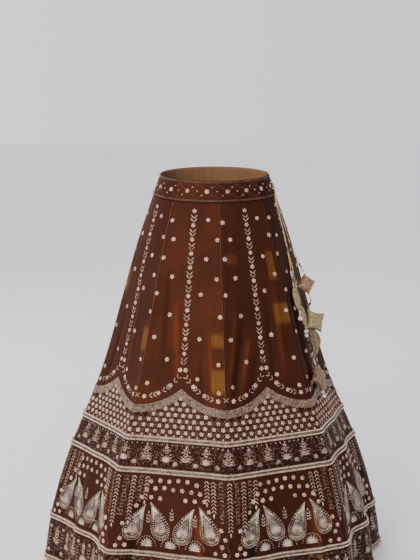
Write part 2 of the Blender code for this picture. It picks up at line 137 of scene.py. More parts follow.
# Soft folds in the cloth: the azimuth at the top and its drift to the foot, the drops of both,
# and the fold's half width and height
CREASES = (
    ("azimuth", "drift", "top", "foot", "half_width", "height"),
    (8.5, -7.5, 0.300, 0.560, 0.0055, 0.0036),
    (13.0, -10.5, 0.330, 0.575, 0.0060, -0.0040),
    (16.5, -11.0, 0.370, 0.590, 0.0080, 0.0052),
    (19.0, -9.0, 0.430, 0.600, 0.0060, -0.0034),
    (4.5, -3.0, 0.200, 0.430, 0.0045, -0.0014),
    (-9.0, 4.5, 0.360, 0.600, 0.0070, 0.0030),
    (-13.5, 3.0, 0.440, 0.610, 0.0060, -0.0028),
    (-31.0, 7.0, 0.280, 0.560, 0.0080, 0.0036),
    (-38.0, 4.0, 0.200, 0.520, 0.0070, -0.0032),
    (30.0, -3.0, 0.300, 0.580, 0.0070, -0.0032),
    (38.0, -4.0, 0.240, 0.540, 0.0080, 0.0036),
    (52.0, 3.0, 0.240, 0.600, 0.0090, -0.0040),
    (60.0, -2.0, 0.380, 0.640, 0.0100, 0.0036),
    (78.0, 2.0, 0.260, 0.600, 0.0080, -0.0030),
    (98.0, -5.0, 0.300, 0.580, 0.0070, 0.0026),
    (107.0, -6.0, 0.340, 0.620, 0.0080, -0.0030),
    (126.0, 4.0, 0.240, 0.530, 0.0070, 0.0022),
    (146.0, -5.0, 0.320, 0.590, 0.0080, -0.0028),
    (158.0, 6.0, 0.300, 0.560, 0.0060, 0.0024),
    (171.0, 5.0, 0.360, 0.600, 0.0070, -0.0024),
    (192.0, -6.0, 0.320, 0.590, 0.0070, 0.0026),
    (204.0, -7.0, 0.280, 0.560, 0.0060, -0.0020),
    (231.0, 5.0, 0.340, 0.610, 0.0080, 0.0028),
    (243.0, -3.0, 0.260, 0.540, 0.0070, -0.0024),
    (262.0, 6.0, 0.300, 0.600, 0.0080, 0.0030),
    (283.0, -5.0, 0.350, 0.620, 0.0080, -0.0030),
    (297.0, 4.0, 0.260, 0.570, 0.0070, 0.0024),
    (-52.0, 3.0, 0.700, 1.030, 0.0130, 0.0070),
    (-36.0, -3.0, 0.760, 1.070, 0.0120, -0.0070),
    (-12.0, 2.0, 0.780, 1.060, 0.0130, 0.0060),
    (9.0, -2.0, 0.740, 1.040, 0.0130, -0.0056),
    (34.0, 2.0, 0.760, 1.070, 0.0130, 0.0064),
    (84.0, -3.0, 0.740, 1.060, 0.0120, -0.0050),
    (118.0, 3.0, 0.720, 1.040, 0.0130, 0.0046),
    (152.0, -2.0, 0.780, 1.070, 0.0110, -0.0044),
    (187.0, 3.0, 0.740, 1.050, 0.0120, 0.0042),
    (214.0, -3.0, 0.760, 1.070, 0.0120, -0.0046),
    (251.0, 2.0, 0.720, 1.050, 0.0130, 0.0048),
    (288.0, -2.0, 0.760, 1.060, 0.0120, -0.0044),
)
# Share of a fold's length over which it rises from nothing
CREASE_ENDS = 0.35
SEAM_GROOVE_DEPTH = 0.0011
SEAM_GROOVE_WIDTH = 0.0024

# Painted gold sheen: patches where the velvet catches the light, painted into its colour: azimuths,
# drops and strength
PAINTED_SHEENS = (
    ("start", "end", "top", "foot", "strength"),
    (-7.6, -0.3, 0.388, 0.432, 0.80),
    (-7.4, -0.3, 0.478, 0.545, 1.00),
    (2.5, 11.0, 0.186, 0.222, 0.30),
    (34.0, 44.6, 0.322, 0.385, 0.75),
    (34.5, 41.0, 0.184, 0.270, 0.60),
    (85.0, 89.5, 0.360, 0.420, 0.70),
    (128.5, 134.6, 0.420, 0.500, 0.80),
    (180.4, 186.0, 0.300, 0.370, 0.75),
    (219.0, 224.6, 0.400, 0.470, 0.80),
    (270.4, 276.0, 0.250, 0.320, 0.70),
    (309.0, 314.6, 0.380, 0.450, 0.75),
)

# The velvet's tone below the scallops: half way to this one, and its shift there, on the wide band
# and in the hem band; painted light and shade on the folds: a fold 4 mm high lightens it by 0.24,
# and troughs and seam grooves darken it
BORDER_TONE = 0.46
BELOW_SHIFT, WIDE_BAND_SHIFT, HEM_SHIFT = -0.24, 0.17, 0.04
FOLD_SHADING = 0.24 / 0.004

# Stuffed squares and leaves, as in the frame: the middle's place over the cloth, the piece's size,
# its turn in the cloth's plane, and its yaw about the line down the cloth
Hanging = namedtuple("Hanging", "azimuth drop height across down thickness turn yaw")
HANGINGS = {
    "latkan_puff_1": Hanging(69.0, 0.2996, 0.0290, 0.042, 0.042, 0.027, 45.0, 38.0),
    "latkan_puff_2": Hanging(69.0, 0.4010, 0.0288, 0.056, 0.052, 0.028, -27.0, 40.0),
    "latkan_puff_3": Hanging(58.0, 0.5424, 0.0170, 0.051, 0.051, 0.026, 45.0, 10.0),
    "latkan_leaf_1": Hanging(57.0, 0.3285, 0.0088, 0.026, 0.064, 0.013, 3.0, 15.0),
    "latkan_leaf_2": Hanging(61.2, 0.3785, 0.0105, 0.024, 0.058, 0.012, 4.0, 18.0),
}
# Points of a route: azimuth, drop and height over the skin, or a hanging piece and shares of its
# half size across and down; each route ends at the piece that hangs on it
DORI_ROUTES = {
    "dori_long_upper": (
        (72.0, 0.020, -0.0010), (72.0, 0.021, 0.0058), (73.4, 0.029, 0.0088),
        (74.2, 0.042, 0.0062), (74.2, 0.070, 0.0026), (73.6, 0.130, 0.0026),
        (72.6, 0.183, 0.0060), (70.8, 0.228, 0.0160), ("latkan_puff_1", -1.0, -1.0),
    ),
    "dori_long_lower": (
        ("latkan_puff_1", 1.0, 1.0), (68.0, 0.3440, 0.0325), ("latkan_puff_2", 1.0, -1.0),
        ("latkan_puff_2", 0.5, -0.5),
    ),
    "dori_short_left": (
        (72.0, 0.036, -0.0010), (72.0, 0.037, 0.0052), (70.8, 0.044, 0.0082),
        (69.6, 0.057, 0.0050), (68.6, 0.080, 0.0026), (67.0, 0.140, 0.0026),
        (64.5, 0.200, 0.0026), (61.2, 0.252, 0.0040), ("latkan_leaf_1", 0.0, -1.0),
    ),
    "dori_short_right": (
        (65.9, 0.196, 0.0026), (65.9, 0.208, 0.0026), (65.8, 0.250, 0.0030),
        (64.6, 0.300, 0.0044), (62.8, 0.331, 0.0070), ("latkan_leaf_2", 0.0, -1.0),
    ),
}
# Beads threaded on the dori: route, drop of the first, count, pitch, diameter, finish
BEADS = (
    ("dori_long_upper", 0.186, 3, 0.0074, 0.0072, "glass_bead_smoke"),
    ("dori_long_upper", 0.214, 2, 0.0060, 0.0058, "glass_pearl_white"),
    ("dori_long_upper", 0.240, 2, 0.0066, 0.0064, "glass_bead_smoke"),
    ("dori_long_lower", 0.345, 3, 0.0072, 0.0078, "glass_bead_smoke"),
    ("dori_long_lower", 0.336, 1, 0.0050, 0.0056, "gilt_bead"),
    ("dori_short_left", 0.196, 2, 0.0070, 0.0070, "glass_bead_smoke"),
    ("dori_short_left", 0.214, 6, 0.0062, 0.0062, "gilt_bead"),
    ("dori_short_left", 0.258, 2, 0.0070, 0.0074, "glass_pearl_white"),
    ("dori_short_left", 0.276, 2, 0.0056, 0.0058, "glass_bead_smoke"),
    ("dori_short_right", 0.199, 2, 0.0068, 0.0068, "glass_bead_smoke"),
    ("dori_short_right", 0.236, 5, 0.0060, 0.0060, "gilt_bead"),
    ("dori_short_right", 0.292, 2, 0.0064, 0.0066, "glass_pearl_white"),
)
# Pearls under a piece: the piece, shares of its half size, their swing, and their diameters
DROPS = {
    "latkan_drop_leaf_1": ("latkan_leaf_1", 0.0, 1.0, 20.0, (0.0065, 0.0065, 0.0150)),
    "latkan_drop_leaf_2": ("latkan_leaf_2", 0.0, 1.0, 28.0, (0.0065, 0.0130, 0.0110)),
    "latkan_drop_puff_3": ("latkan_puff_3", 1.0, 1.0, 0.0, (0.0080, 0.0130)),
}
LINK_PEARLS = 3
TAIL_LINE = (
    ("latkan_puff_2", 0.25, 0.985),
    (65.2, 0.456, 0.0235),
    (62.0, 0.480, 0.0200),
    ("latkan_puff_3", -1.50, -1.50),
)
TAIL_RINGS = (
    ("half_width", "half_depth"),
    (0.0165, 0.0080),
    (0.0180, 0.0090),
    (0.0150, 0.0084),
    (0.0100, 0.0070),
    (0.0066, 0.0056),
    (0.0046, 0.0046),
)
TAIL_SIDES, TAIL_ROWS = 84, 40
# Each square's brocade, and the pressure that fills it
PUFFS = {
    "latkan_puff_1": ("brocade_rose_gold", 4.0),
    "latkan_puff_2": ("brocade_olive_gold", 5.0),
    "latkan_puff_3": ("brocade_striped", 4.0),
}
PUFF_POINTS = 29
PUFF_DRAWN_IN = 0.10
PUFF_FULLNESS = 0.55
# Share of a square's thickness that it has before it is filled
PUFF_START = 0.78
SIMULATION_SCALE = 10.0
SIMULATION_FRAMES = 14
# The furthest that the filling moves a point
SIMULATION_CAP = 0.0045
FILLING = {
    "quality": 6, "mass": 0.3, "tension_stiffness": 25, "compression_stiffness": 8,
    "shear_stiffness": 5, "bending_stiffness": 0.4, "use_pressure": True,
}
LEAF_SIDES, LEAF_RINGS = 40, 46

# The camera, fitted to the border's rings in the photograph
CAMERA_AZIMUTH = -5.9
CAMERA_PITCH = 10.7
CAMERA_DISTANCE = 3.51
CAMERA_HEIGHT = 0.37
FOCAL_PIXELS = 1300.0
FRAME_WIDTH, FRAME_HEIGHT = 420, 560
OBJECT_COLUMN = 214.5
SENSOR_WIDTH = 36.0
FLOOR_HALF_WIDTH = 14.0
FLOOR_GAP = 0.004
# Lamps: name, place, size, power in watts, colour
LAMPS = (
    ("key", (-1.9, -3.0, 1.4), 1.4, 108.0, "#FFF2E6"),
    ("rim", (-1.6, 2.6, 1.6), 2.0, 40.0, "#FFFFFF"),
)
LAMP_AIM = (0.0, 0.0, -0.55)
SKY = "#EEEFF3"
# The sky's strength: this much in the middle, and its change towards +X
SKY_STRENGTH, SKY_SLOPE = 1.38, -0.60


# The cloth's form
def table_column(table, name):
    """One named column of a table whose first row holds the column names."""
    index = table[0].index(name)
    return np.array([row[index] for row in table[1:]], float)


def through_points(at, knots, values):
    """A smooth curve through the knots, read at any place: a cubic with central slopes."""
    at = np.clip(np.asarray(at, float), knots[0], knots[-1])
    slopes = np.gradient(values, knots)
    left = np.clip(np.searchsorted(knots, at, side="right") - 1, 0, len(knots) - 2)
    span = knots[left + 1] - knots[left]
    t = (at - knots[left]) / span
    rise = values[left + 1] - values[left]
    start_slope = slopes[left] * span
    end_slope = slopes[left + 1] * span
    return (
        values[left]
        + start_slope * t
        + (3 * rise - 2 * start_slope - end_slope) * t**2
        + (start_slope + end_slope - 2 * rise) * t**3
    )


def section_value(name, drop):
    """One of the sections' columns at any drop, smooth through the table's rows."""
    return through_points(drop, table_column(SECTIONS, "drop"), table_column(SECTIONS, name))


def smooth_step(value):
    """3v^2 - 2v^3 between 0 and 1."""
    value = np.clip(value, 0, 1)
    return value * value * (3 - 2 * value)


def between_seams(values, kali, across):
    """A value given at every seam, eased over a kali from its first seam to its second."""
    values = np.array(values)
    return values[kali] + (values[(kali + 1) % KALI_COUNT] - values[kali]) * smooth_step(across)


def kali_place(azimuth):
    """The kali at an azimuth, counted from 0, and how far across it the place is."""
    turns = np.mod(azimuth, 2 * math.pi) / KALI_ANGLE
    kali = np.minimum(turns.astype(int), KALI_COUNT - 1)
    return kali, turns - kali


def skirt_surface(azimuth, drop):
    """The frame's outer skin: an oval section whose radius is scaled between the seams.

    Scale = 1 - (1 - cos half a kali) x hollow x 4a(1-a), rounded at the seams, plus the waves at
    the hem; x = half width x scale x sin(azimuth), y = -half depth x scale x cos(azimuth), and
    z = -drop less a dip at the front of the waist.
    """
    azimuth, drop = np.broadcast_arrays(np.asarray(azimuth, float), np.asarray(drop, float))
    kali, across = kali_place(azimuth)
    fall = smooth_step((drop - HEM_FALL_START) / (SKIRT_LENGTH - HEM_FALL_START))
    leaning = across ** table_column(KALIS, "lean")[kali]
    from_seams = 4 * leaning * (1 - leaning)
    rounded = from_seams * (1 - np.exp(-((from_seams / SEAM_ROUNDING) ** 2)))
    flat_side = 1 - math.cos(KALI_ANGLE / 2)
    hollow_at_hem = table_column(KALIS, "hollow")[kali]
    hollow = section_value("flatness", drop) * (1 + fall * (hollow_at_hem - 1))
    scale = 1 - flat_side * hollow * rounded
    stand = between_seams(SEAM_STAND, kali, across)
    sway = np.radians(between_seams(SEAM_SWAY, kali, across)) * fall
    wave_angle = (
        2 * math.pi * table_column(KALIS, "wave_count")[kali] * across
        + table_column(KALIS, "wave_phase")[kali]
    )
    wave = table_column(KALIS, "wave")[kali] * np.sin(wave_angle) * np.sin(math.pi * across)
    half_width = section_value("half_width", drop)
    scale = scale + fall * (stand + wave * fall) / half_width
    half_depth = half_width * section_value("depth_ratio", drop)
    dip = FRONT_DIP * np.cos(azimuth) * (1 - smooth_step(drop / FRONT_DIP_REACH))
    x = half_width * scale * np.sin(azimuth + sway)
    y = -half_depth * scale * np.cos(azimuth + sway)
    return np.stack([x, y, -drop - dip], axis=-1)


def unit(vectors):
    """Vectors divided by their lengths."""
    return vectors / np.linalg.norm(vectors, axis=-1, keepdims=True)


def skirt_normal(azimuth, drop):
    """The outward direction, from central differences of the skin."""
    turn, fall = math.radians(0.6), 0.002
    along = skirt_surface(azimuth + turn, drop) - skirt_surface(azimuth - turn, drop)
    down = skirt_surface(azimuth, drop + fall) - skirt_surface(azimuth, drop - fall)
    return unit(np.cross(down, along))


def span_of(azimuth, drop):
    """Metres of cloth per radian of azimuth, and per metre of drop, at a place."""
    turn, fall = math.radians(1.5), 0.006
    along = skirt_surface(azimuth + turn, drop) - skirt_surface(azimuth - turn, drop)
    down = skirt_surface(azimuth, drop + fall) - skirt_surface(azimuth, drop - fall)
    return np.linalg.norm(along, axis=-1) / (2 * turn), np.linalg.norm(down, axis=-1) / (2 * fall)


def signed_turn(azimuth, centre):
    """Azimuth less centre, between -180 and 180 degrees, in radians."""
    return np.mod(azimuth - centre + math.pi, 2 * math.pi) - math.pi


def creases(azimuth, drop):
    """Height of the soft folds: each is a bell across its line times an eased start and end."""
    radius = section_value("half_width", drop)
    seam = np.round(azimuth / KALI_ANGLE) * KALI_ANGLE
    total = -SEAM_GROOVE_DEPTH * np.exp(-(((azimuth - seam) * radius / SEAM_GROOVE_WIDTH) ** 2))
    depth = bpy.context.scene.skirt_sizes.crease_share
    for start, drift, top, foot, half_width, height in CREASES[1:]:
        along = (drop - top) / (foot - top)
        gap = signed_turn(azimuth, np.radians(start + drift * along)) * radius
        ends = smooth_step(along / CREASE_ENDS) * smooth_step((1 - along) / CREASE_ENDS)
        total = total + depth * height * np.exp(-((gap / half_width) ** 2)) * ends
    return total


def cloth(azimuth, drop, lift=0.0):
    """Points over the cloth: the skin, plus its normal times the folds' height and the lift."""
    azimuth, drop, lift = np.broadcast_arrays(
        np.asarray(azimuth, float), np.asarray(drop, float), np.asarray(lift, float)
    )
    height = creases(azimuth, drop) + lift
    return skirt_surface(azimuth, drop) + skirt_normal(azimuth, drop) * height[..., None]


def scallop_drop(azimuth):
    """The scalloped edge: a parabola low on each seam, rising to a cusp at each kali's middle."""
    across = np.mod(azimuth / KALI_ANGLE, 1)
    from_seam = 2 * np.minimum(across, 1 - across)
    return SCALLOP_VALLEY_DROP - (SCALLOP_VALLEY_DROP - SCALLOP_CUSP_DROP) * from_seam**2


def scallop_foot(azimuth):
    """The scalloped trim's lower edge, its width measured square to the edge."""
    upper = scallop_drop(azimuth)
    step = math.radians(0.5)
    rise = scallop_drop(azimuth + step) - scallop_drop(azimuth - step)
    slope = rise / (2 * step * section_value("half_width", upper))
    return upper + SCALLOP_TRIM_WIDTH * np.sqrt(1 + slope**2)


# The hangings' places
def cloth_frame(azimuth_degrees, drop, height):
    """A placing matrix on the skin: X across it, Y down it, Z out of it."""
    azimuth = math.radians(azimuth_degrees)
    place, out = skirt_surface(azimuth, drop), skirt_normal(azimuth, drop)
    down = unit(skirt_surface(azimuth, drop + 0.01) - skirt_surface(azimuth, drop - 0.01))
    down = unit(down - out * np.dot(down, out))
    across = np.cross(down, out)
    matrix = Matrix([list(across), list(down), list(out)]).transposed().to_4x4()
    matrix.translation = Vector(place + out * height)
    return matrix


def upright_frame(name):
    """A hanging piece's placing matrix before its turn: over the cloth, yawed about its Y."""
    piece = HANGINGS[name]
    placing = cloth_frame(piece.azimuth, piece.drop, piece.height)
    return placing @ Matrix.Rotation(math.radians(piece.yaw), 4, "Y")


def hanging_frame(name):
    """A hanging piece's placing matrix, turned about its own Z."""
    return upright_frame(name) @ Matrix.Rotation(math.radians(HANGINGS[name].turn), 4, "Z")


def tie_point(name, share_across, share_down):
    """A place on a hanging piece's edge, a resting gap outside it."""
    placing, piece = hanging_frame(name), HANGINGS[name]
    edge = placing @ Vector((share_across * piece.across / 2, share_down * piece.down / 2, 0.0))
    return edge + (edge - placing.translation).normalized() * RESTING_GAP


def route_knot(row):
    """A route's point: a piece's tie point, or the skin plus its normal times the height."""
    if isinstance(row[0], str):
        return np.array(tie_point(*row))
    azimuth, drop, height = math.radians(row[0]), row[1], row[2]
    return skirt_surface(azimuth, drop) + skirt_normal(azimuth, drop) * height


def lengths_along(path):
    """The length of a path up to each of its points: the running sum of its steps."""
    return np.concatenate([[0], np.cumsum(np.linalg.norm(np.diff(path, axis=0), axis=1))])


def line_points(rows, spacing=None, count=None):
    """Evenly spaced points on a smooth line through a route's own points."""
    knots = np.array([route_knot(row) for row in rows])
    along = lengths_along(knots)
    at = np.linspace(0, along[-1], count or int(round(along[-1] / spacing)) + 1)
    return np.stack([through_points(at, along, knots[:, axis]) for axis in range(3)], axis=1)


def transformed(points, matrix):
    """Points carried by a 4x4 matrix."""
    matrix = np.array(matrix)
    return points @ matrix[:3, :3].T + matrix[:3, 3]


# Meshes
def grid_quads(rows, columns, closed=False, capped_rows=False):
    """Quads of a grid of points numbered row by row, seen from the side where rows run down."""
    row, column = np.meshgrid(
        np.arange(rows if capped_rows else rows - 1),
        np.arange(columns if closed else columns - 1),
        indexing="ij",
    )
    after, below = (column + 1) % columns, (row + 1) % rows
    quads = [
        row * columns + column,
        below * columns + column,
        below * columns + after,
        row * columns + after,
    ]
    return np.stack(quads, axis=-1).reshape(-1, 4)


def joined(parts):
    """Several (points, faces, uv) as one, their faces split into triangles."""
    points, faces, uvs, start = [], [], [], 0
    for part_points, part_faces, part_uv in parts:
        points.append(part_points.reshape(-1, 3))
        uvs.append(part_uv.reshape(-1, 2))
        if part_faces.shape[1] == 4:
            part_faces = np.concatenate([part_faces[:, [0, 1, 2]], part_faces[:, [0, 2, 3]]])
        faces.append(part_faces + start)
        start += len(points[-1])
    return np.concatenate(points), np.concatenate(faces), np.concatenate(uvs)


def new_object(name, data):
    """An object of the given data, in the scene."""
    made = bpy.data.objects.new(name, data)
    bpy.context.scene.collection.objects.link(made)
    return made


def make_piece(name, points, faces, finishes, uv, attributes=None, sharp=None):
    """A mesh object from whole arrays, riding on the body and taking its finish from a slot."""
    points = points.reshape(-1, 3)
    mesh = bpy.data.meshes.new(name)
    mesh.vertices.add(len(points))
    mesh.vertices.foreach_set("co", points.astype(np.float32).ravel())
    mesh.loops.add(faces.size)
    mesh.loops.foreach_set("vertex_index", faces.astype(np.int32).ravel())
    mesh.polygons.add(len(faces))
    starts = np.arange(len(faces), dtype=np.int32) * faces.shape[1]
    mesh.polygons.foreach_set("loop_start", starts)
    layer = mesh.uv_layers.new(name="cloth")
    layer.data.foreach_set("uv", uv.reshape(-1, 2)[faces.ravel()].astype(np.float32).ravel())
    for label, values in (attributes or {}).items():
        attribute = mesh.attributes.new(label, "FLOAT", "POINT")
        attribute.data.foreach_set("value", np.asarray(values, np.float32).ravel())
    mesh.update(calc_edges=True)
    if mesh.validate():
        raise RuntimeError(f"{name} has a faulty face")
    mesh.shade_smooth()
    if sharp:
        mesh.set_sharp_from_angle(angle=math.radians(sharp))
    made = new_object(name, mesh)
    for finish in finishes:
        mesh.materials.append(finish_named(finish))
    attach(made, BODY)
    return made


def round_angles(count):
    """Even angles round a ring: number x 2 pi / count."""
    return np.arange(count) * 2 * math.pi / count


def closed_rings(points, uv, outward):
    """A grid of rings with a fan over each end; outward -1 turns every face over."""
    rings, sides = points.shape[:2]
    parts = [(points, grid_quads(rings, sides, closed=True)[:, ::outward], uv)]
    one = np.arange(sides)
    fan_faces = np.stack([np.full(sides, sides), one, (one + 1) % sides], 1)
    for ring, order in ((0, outward), (-1, -outward)):
        rim = np.concatenate([points[ring], points[ring].mean(axis=0, keepdims=True)])
        parts.append((rim, fan_faces[:, ::order], np.concatenate([uv[ring], uv[ring][:1]])))
    return joined(parts)


def tube(path, radius, sides, lobes=0, depth=0.0, pitch=1.0):
    """A tube along a path: rings square to it, radius x (1 - depth + depth |cos(lobes/2 x angle)|).

    The angle turns once in a pitch of length, so the lobes lie as the plies of a twisted cord.
    """
    path = np.asarray(path, float)
    tangent = unit(np.gradient(path, axis=0))
    lengths = lengths_along(path)[:, None]
    # the rings start from a direction that no cord here runs along
    side = unit(np.cross(tangent, np.broadcast_to([0.31, 0.12, 0.94], tangent.shape)))
    other = np.cross(tangent, side)
    angle = round_angles(sides)
    plies = np.abs(np.cos(lobes / 2 * (angle + 2 * math.pi * lengths / pitch)))
    wide = radius * (1 - depth + depth * plies)
    ring = np.cos(angle)[:, None] * side[:, None] + np.sin(angle)[:, None] * other[:, None]
    uv = np.broadcast_arrays(lengths * 1000, angle * 1000 * DORI_DIAMETER / 2)
    return closed_rings(path[:, None] + ring * wide[..., None], np.stack(uv, -1), -1)


def fans_and_rings(centre, rings):
    """Triangles of a middle point and rings of points round it, numbered outwards."""
    count = len(rings[0])
    points = np.concatenate([[centre], *rings])
    one = np.arange(count)
    after = (one + 1) % count
    faces = [np.stack([np.zeros(count, int), 1 + one, 1 + after], 1)]
    for ring in range(len(rings) - 1):
        inner, outer = 1 + ring * count, 1 + (ring + 1) * count
        faces.append(np.stack([inner + one, outer + one, outer + after], 1))
        faces.append(np.stack([inner + one, outer + after, inner + after], 1))
    return points, np.concatenate(faces)


def ring_of(radius, height, angle):
    """Points round Z: x = radius x cos(angle), y = radius x sin(angle), z = height."""
    radius = np.broadcast_to(radius, angle.shape)
    height = np.broadcast_to(height, angle.shape)
    return np.stack([radius * np.cos(angle), radius * np.sin(angle), height], axis=-1)


def flower_shape(petals=5):
    """Radius 1: four points a petal, its rim at 0.60, 0.95, 1 and 0.95, a raised ring and a dip."""
    angle = round_angles(petals * 4)
    rim = np.tile([0.60, 0.95, 1.0, 0.95], petals)
    rings = [ring_of(0.25, 0.2, angle), ring_of(0.66 * rim, 1.0, angle), ring_of(rim, 0.0, angle)]
    return fans_and_rings([0, 0, 0.1], rings)


def ball_shape(sides=6):
    """Radius 1, standing on the cloth: rings at 7/8, 1/2 and 1/8 of its height."""
    angle = round_angles(sides)
    rings = [ring_of(0.66, 1.75, angle), ring_of(1.0, 1.0, angle), ring_of(0.66, 0.25, angle)]
    return fans_and_rings([0, 0, 2.0], rings)


def dot_shape(sides=6):
    """A low dome of radius 1."""
    angle = round_angles(sides)
    return fans_and_rings([0, 0, 1.0], [ring_of(0.72, 0.78, angle), ring_of(1.0, 0.0, angle)])


def leaf_shape():
    """From 0 to 1 along x, half width 0.42 at its widest, with a raised midrib."""
    points = [(0, 0, 0), (0.25, -0.38, 0), (0.25, 0, 0.9), (0.25, 0.38, 0)]
    points += [(0.62, -0.42, 0), (0.62, 0, 1.0), (0.62, 0.42, 0), (1, 0, 0)]
    faces = [(0, 1, 2), (0, 2, 3), (1, 4, 5), (1, 5, 2), (2, 5, 6), (2, 6, 3), (4, 7, 5), (5, 7, 6)]
    return np.array(points), np.array(faces)


def tack_shape():
    """A short stitch from 0 to 1 along x: four low sides that meet at its middle."""
    points = np.array([(0, 0, 0), (0.5, -0.42, 0), (1, 0, 0), (0.5, 0.42, 0), (0.5, 0, 1.0)])
    return points, np.array([(0, 1, 4), (1, 2, 4), (2, 3, 4), (3, 0, 4)])


FLOWER, BALL, DOT = flower_shape(), ball_shape(), dot_shape()
LEAF, TACK = leaf_shape(), tack_shape()


def stitched(shape, azimuth, drop, turn, size, width=1.0, relief=0.0012, lift=EMBROIDERY_LIFT):
    """Copies of a flat shape laid on the cloth, each turned, sized and bent to the cloth's form.

    Local x and y in metres become azimuth + x / (metres per radian) and drop + y / (metres per
    drop); the shape's height times the relief is added to the lift. Turn 0 points along +azimuth
    and 90 degrees points down the cloth.
    """
    points, faces = shape
    azimuth, drop, turn, size, width, lift = (
        np.ravel(one)[:, None]
        for one in np.broadcast_arrays(azimuth, drop, np.radians(turn), size, width, lift)
    )
    x, y = points[:, 0] * size, points[:, 1] * size * width
    right = x * np.cos(turn) - y * np.sin(turn)
    down = x * np.sin(turn) + y * np.cos(turn)
    per_radian, per_drop = span_of(azimuth, drop)
    height = points[:, 2] * relief + lift
    placed = cloth(azimuth + right / per_radian, drop + down / per_drop, height)
    numbers = np.arange(len(azimuth))[:, None, None] * len(points)
    all_faces = (faces[None] + numbers).reshape(-1, 3)[:, ::-1]
    return placed.reshape(-1, 3), all_faces, np.stack([x, y], axis=-1).reshape(-1, 2) * 1000


def ribbon(azimuth, drop, width, relief=0.0008, lift=EMBROIDERY_LIFT):
    """Couched threads, one for each row of places: a left edge, a raised middle, a right edge."""
    azimuth, drop = np.broadcast_arrays(np.atleast_2d(azimuth), np.atleast_2d(drop))
    per_radian, per_drop = span_of(azimuth, drop)
    right, down = np.gradient(azimuth, axis=1) * per_radian, np.gradient(drop, axis=1) * per_drop
    length = np.hypot(right, down)
    side = np.array([0.5, 0.0, -0.5]) * width
    out_azimuth = azimuth[..., None] + (-down / length / per_radian)[..., None] * side
    out_drop = drop[..., None] + (right / length / per_drop)[..., None] * side
    points = cloth(out_azimuth, out_drop, lift + relief * np.array([0.0, 1.0, 0.0]))
    lines, count = azimuth.shape
    faces = grid_quads(count, 3)[None] + np.arange(lines)[:, None, None] * count * 3
    along = np.cumsum(length, axis=1)[..., None] * 1000 + 0 * side
    uv = np.stack([along, np.broadcast_to(side * 1000, along.shape)], axis=-1)
    return points.reshape(-1, 3), faces.reshape(-1, 4), uv.reshape(-1, 2)


def even_azimuths(drop, pitch, offset=0.0):
    """Azimuths a pitch of cloth apart round the skirt, at a drop that is a number or a function."""
    # the way round is measured in steps of an eighth of a degree
    fine = np.linspace(0, 2 * math.pi, 2881)
    at = drop(fine) if callable(drop) else np.full(fine.shape, drop)
    along = lengths_along(cloth(fine, at))
    count = int(round(along[-1] / pitch))
    return np.interp((np.arange(count) + offset) / count * along[-1], along, fine)


def hoop(upper, lower, profile, columns=KALI_COUNT * KALI_COLUMNS):
    """A braid round the skirt: a closed profile carried round between two edges, its points a share
    of the width and a lift in millimetres."""
    azimuth = round_angles(columns)
    share, lift = (np.array(profile)[:, [column]] for column in (0, 1))
    top = upper(azimuth) if callable(upper) else upper
    foot = lower(azimuth) if callable(lower) else lower
    points = cloth(azimuth[None, :], top + (foot - top) * share, lift / 1000)
    along = azimuth * 1000 * section_value("half_width", np.mean(top))
    uv = np.stack(np.broadcast_arrays(along[None, :], share * 1000 * np.mean(foot - top)), axis=-1)
    return points, grid_quads(len(profile), columns, closed=True, capped_rows=True), uv


def solid_of_turning(radii, heights, sides=20):
    """Rings of the given radii at the given heights on Z, closed by a point at each end."""
    angle = round_angles(sides)
    rings = [ring_of(radius, height, angle) for radius, height in zip(radii[1:-1], heights[1:-1])]
    points, faces = fans_and_rings([0, 0, heights[0]], rings)
    last = 1 + (len(rings) - 1) * sides
    one = np.arange(sides)
    end = np.stack([last + one, np.full(sides, len(points)), last + (one + 1) % sides], 1)
    points = np.concatenate([points, [[0, 0, heights[-1]]]])
    return points, np.concatenate([faces, end])


# Materials
COLOUR_MIX = {"data_type": "RGBA"}
COLOUR_PRODUCT = {"data_type": "RGBA", "blend_type": "MULTIPLY"}
# A wave texture's bands are this far apart at a scale of 1
WAVE_BAND = 2 * math.pi / 20


def linear(colour):
    """An sRGB hex colour as linear RGBA, by the sRGB curve; one that is linear already is kept."""
    if not isinstance(colour, str):
        return tuple(colour)
    parts = np.array([int(colour[i : i + 2], 16) for i in (1, 3, 5)]) / 255
    parts = np.where(parts <= 0.04045, parts / 12.92, ((parts + 0.055) / 1.055) ** 2.4)
    return (*parts.tolist(), 1.0)


def dimmed(colour, share):
    """A colour with each of its channels at a share of its value."""
    return (*(share * one for one in linear(colour)[:3]), 1.0)


def add_node(tree, kind, settings=None, inputs=None, stops=()):
    """Adds a node: its settings, its inputs as values, hex colours or sockets, and its ramp."""
    node = tree.nodes.new(f"ShaderNode{kind}")
    for name, value in (settings or {}).items():
        setattr(node, name, value)
    for name, value in (inputs or {}).items():
        if isinstance(value, bpy.types.NodeSocket):
            tree.links.new(value, node.inputs[name])
        else:
            node.inputs[name].default_value = linear(value) if isinstance(value, str) else value
    elements = node.color_ramp.elements if stops else ()
    while len(elements) < len(stops):
        elements.new(0.5)
    for element, (position, colour) in zip(elements, stops):
        element.position = position
        element.color = linear(colour)
    return node


def settle(shader, **values):
    """Sets the shader's uniform values on its own sockets."""
    for socket, value in values.items():
        socket = shader.inputs[socket.replace("_", " ")]
        socket.default_value = linear(value) if isinstance(value, str) else value


def cover(tree, shader, colour, height=None, strength=0.0, distance=0.0):
    """Links the shader's colour, and bends its normal by a share of a height in metres."""
    tree.links.new(colour, shader.inputs["Base Color"])
    if height is not None:
        relief = {"Height": height, "Strength": strength, "Distance": distance}
        bump = add_node(tree, "Bump", {}, relief)
        tree.links.new(bump.outputs["Normal"], shader.inputs["Normal"])


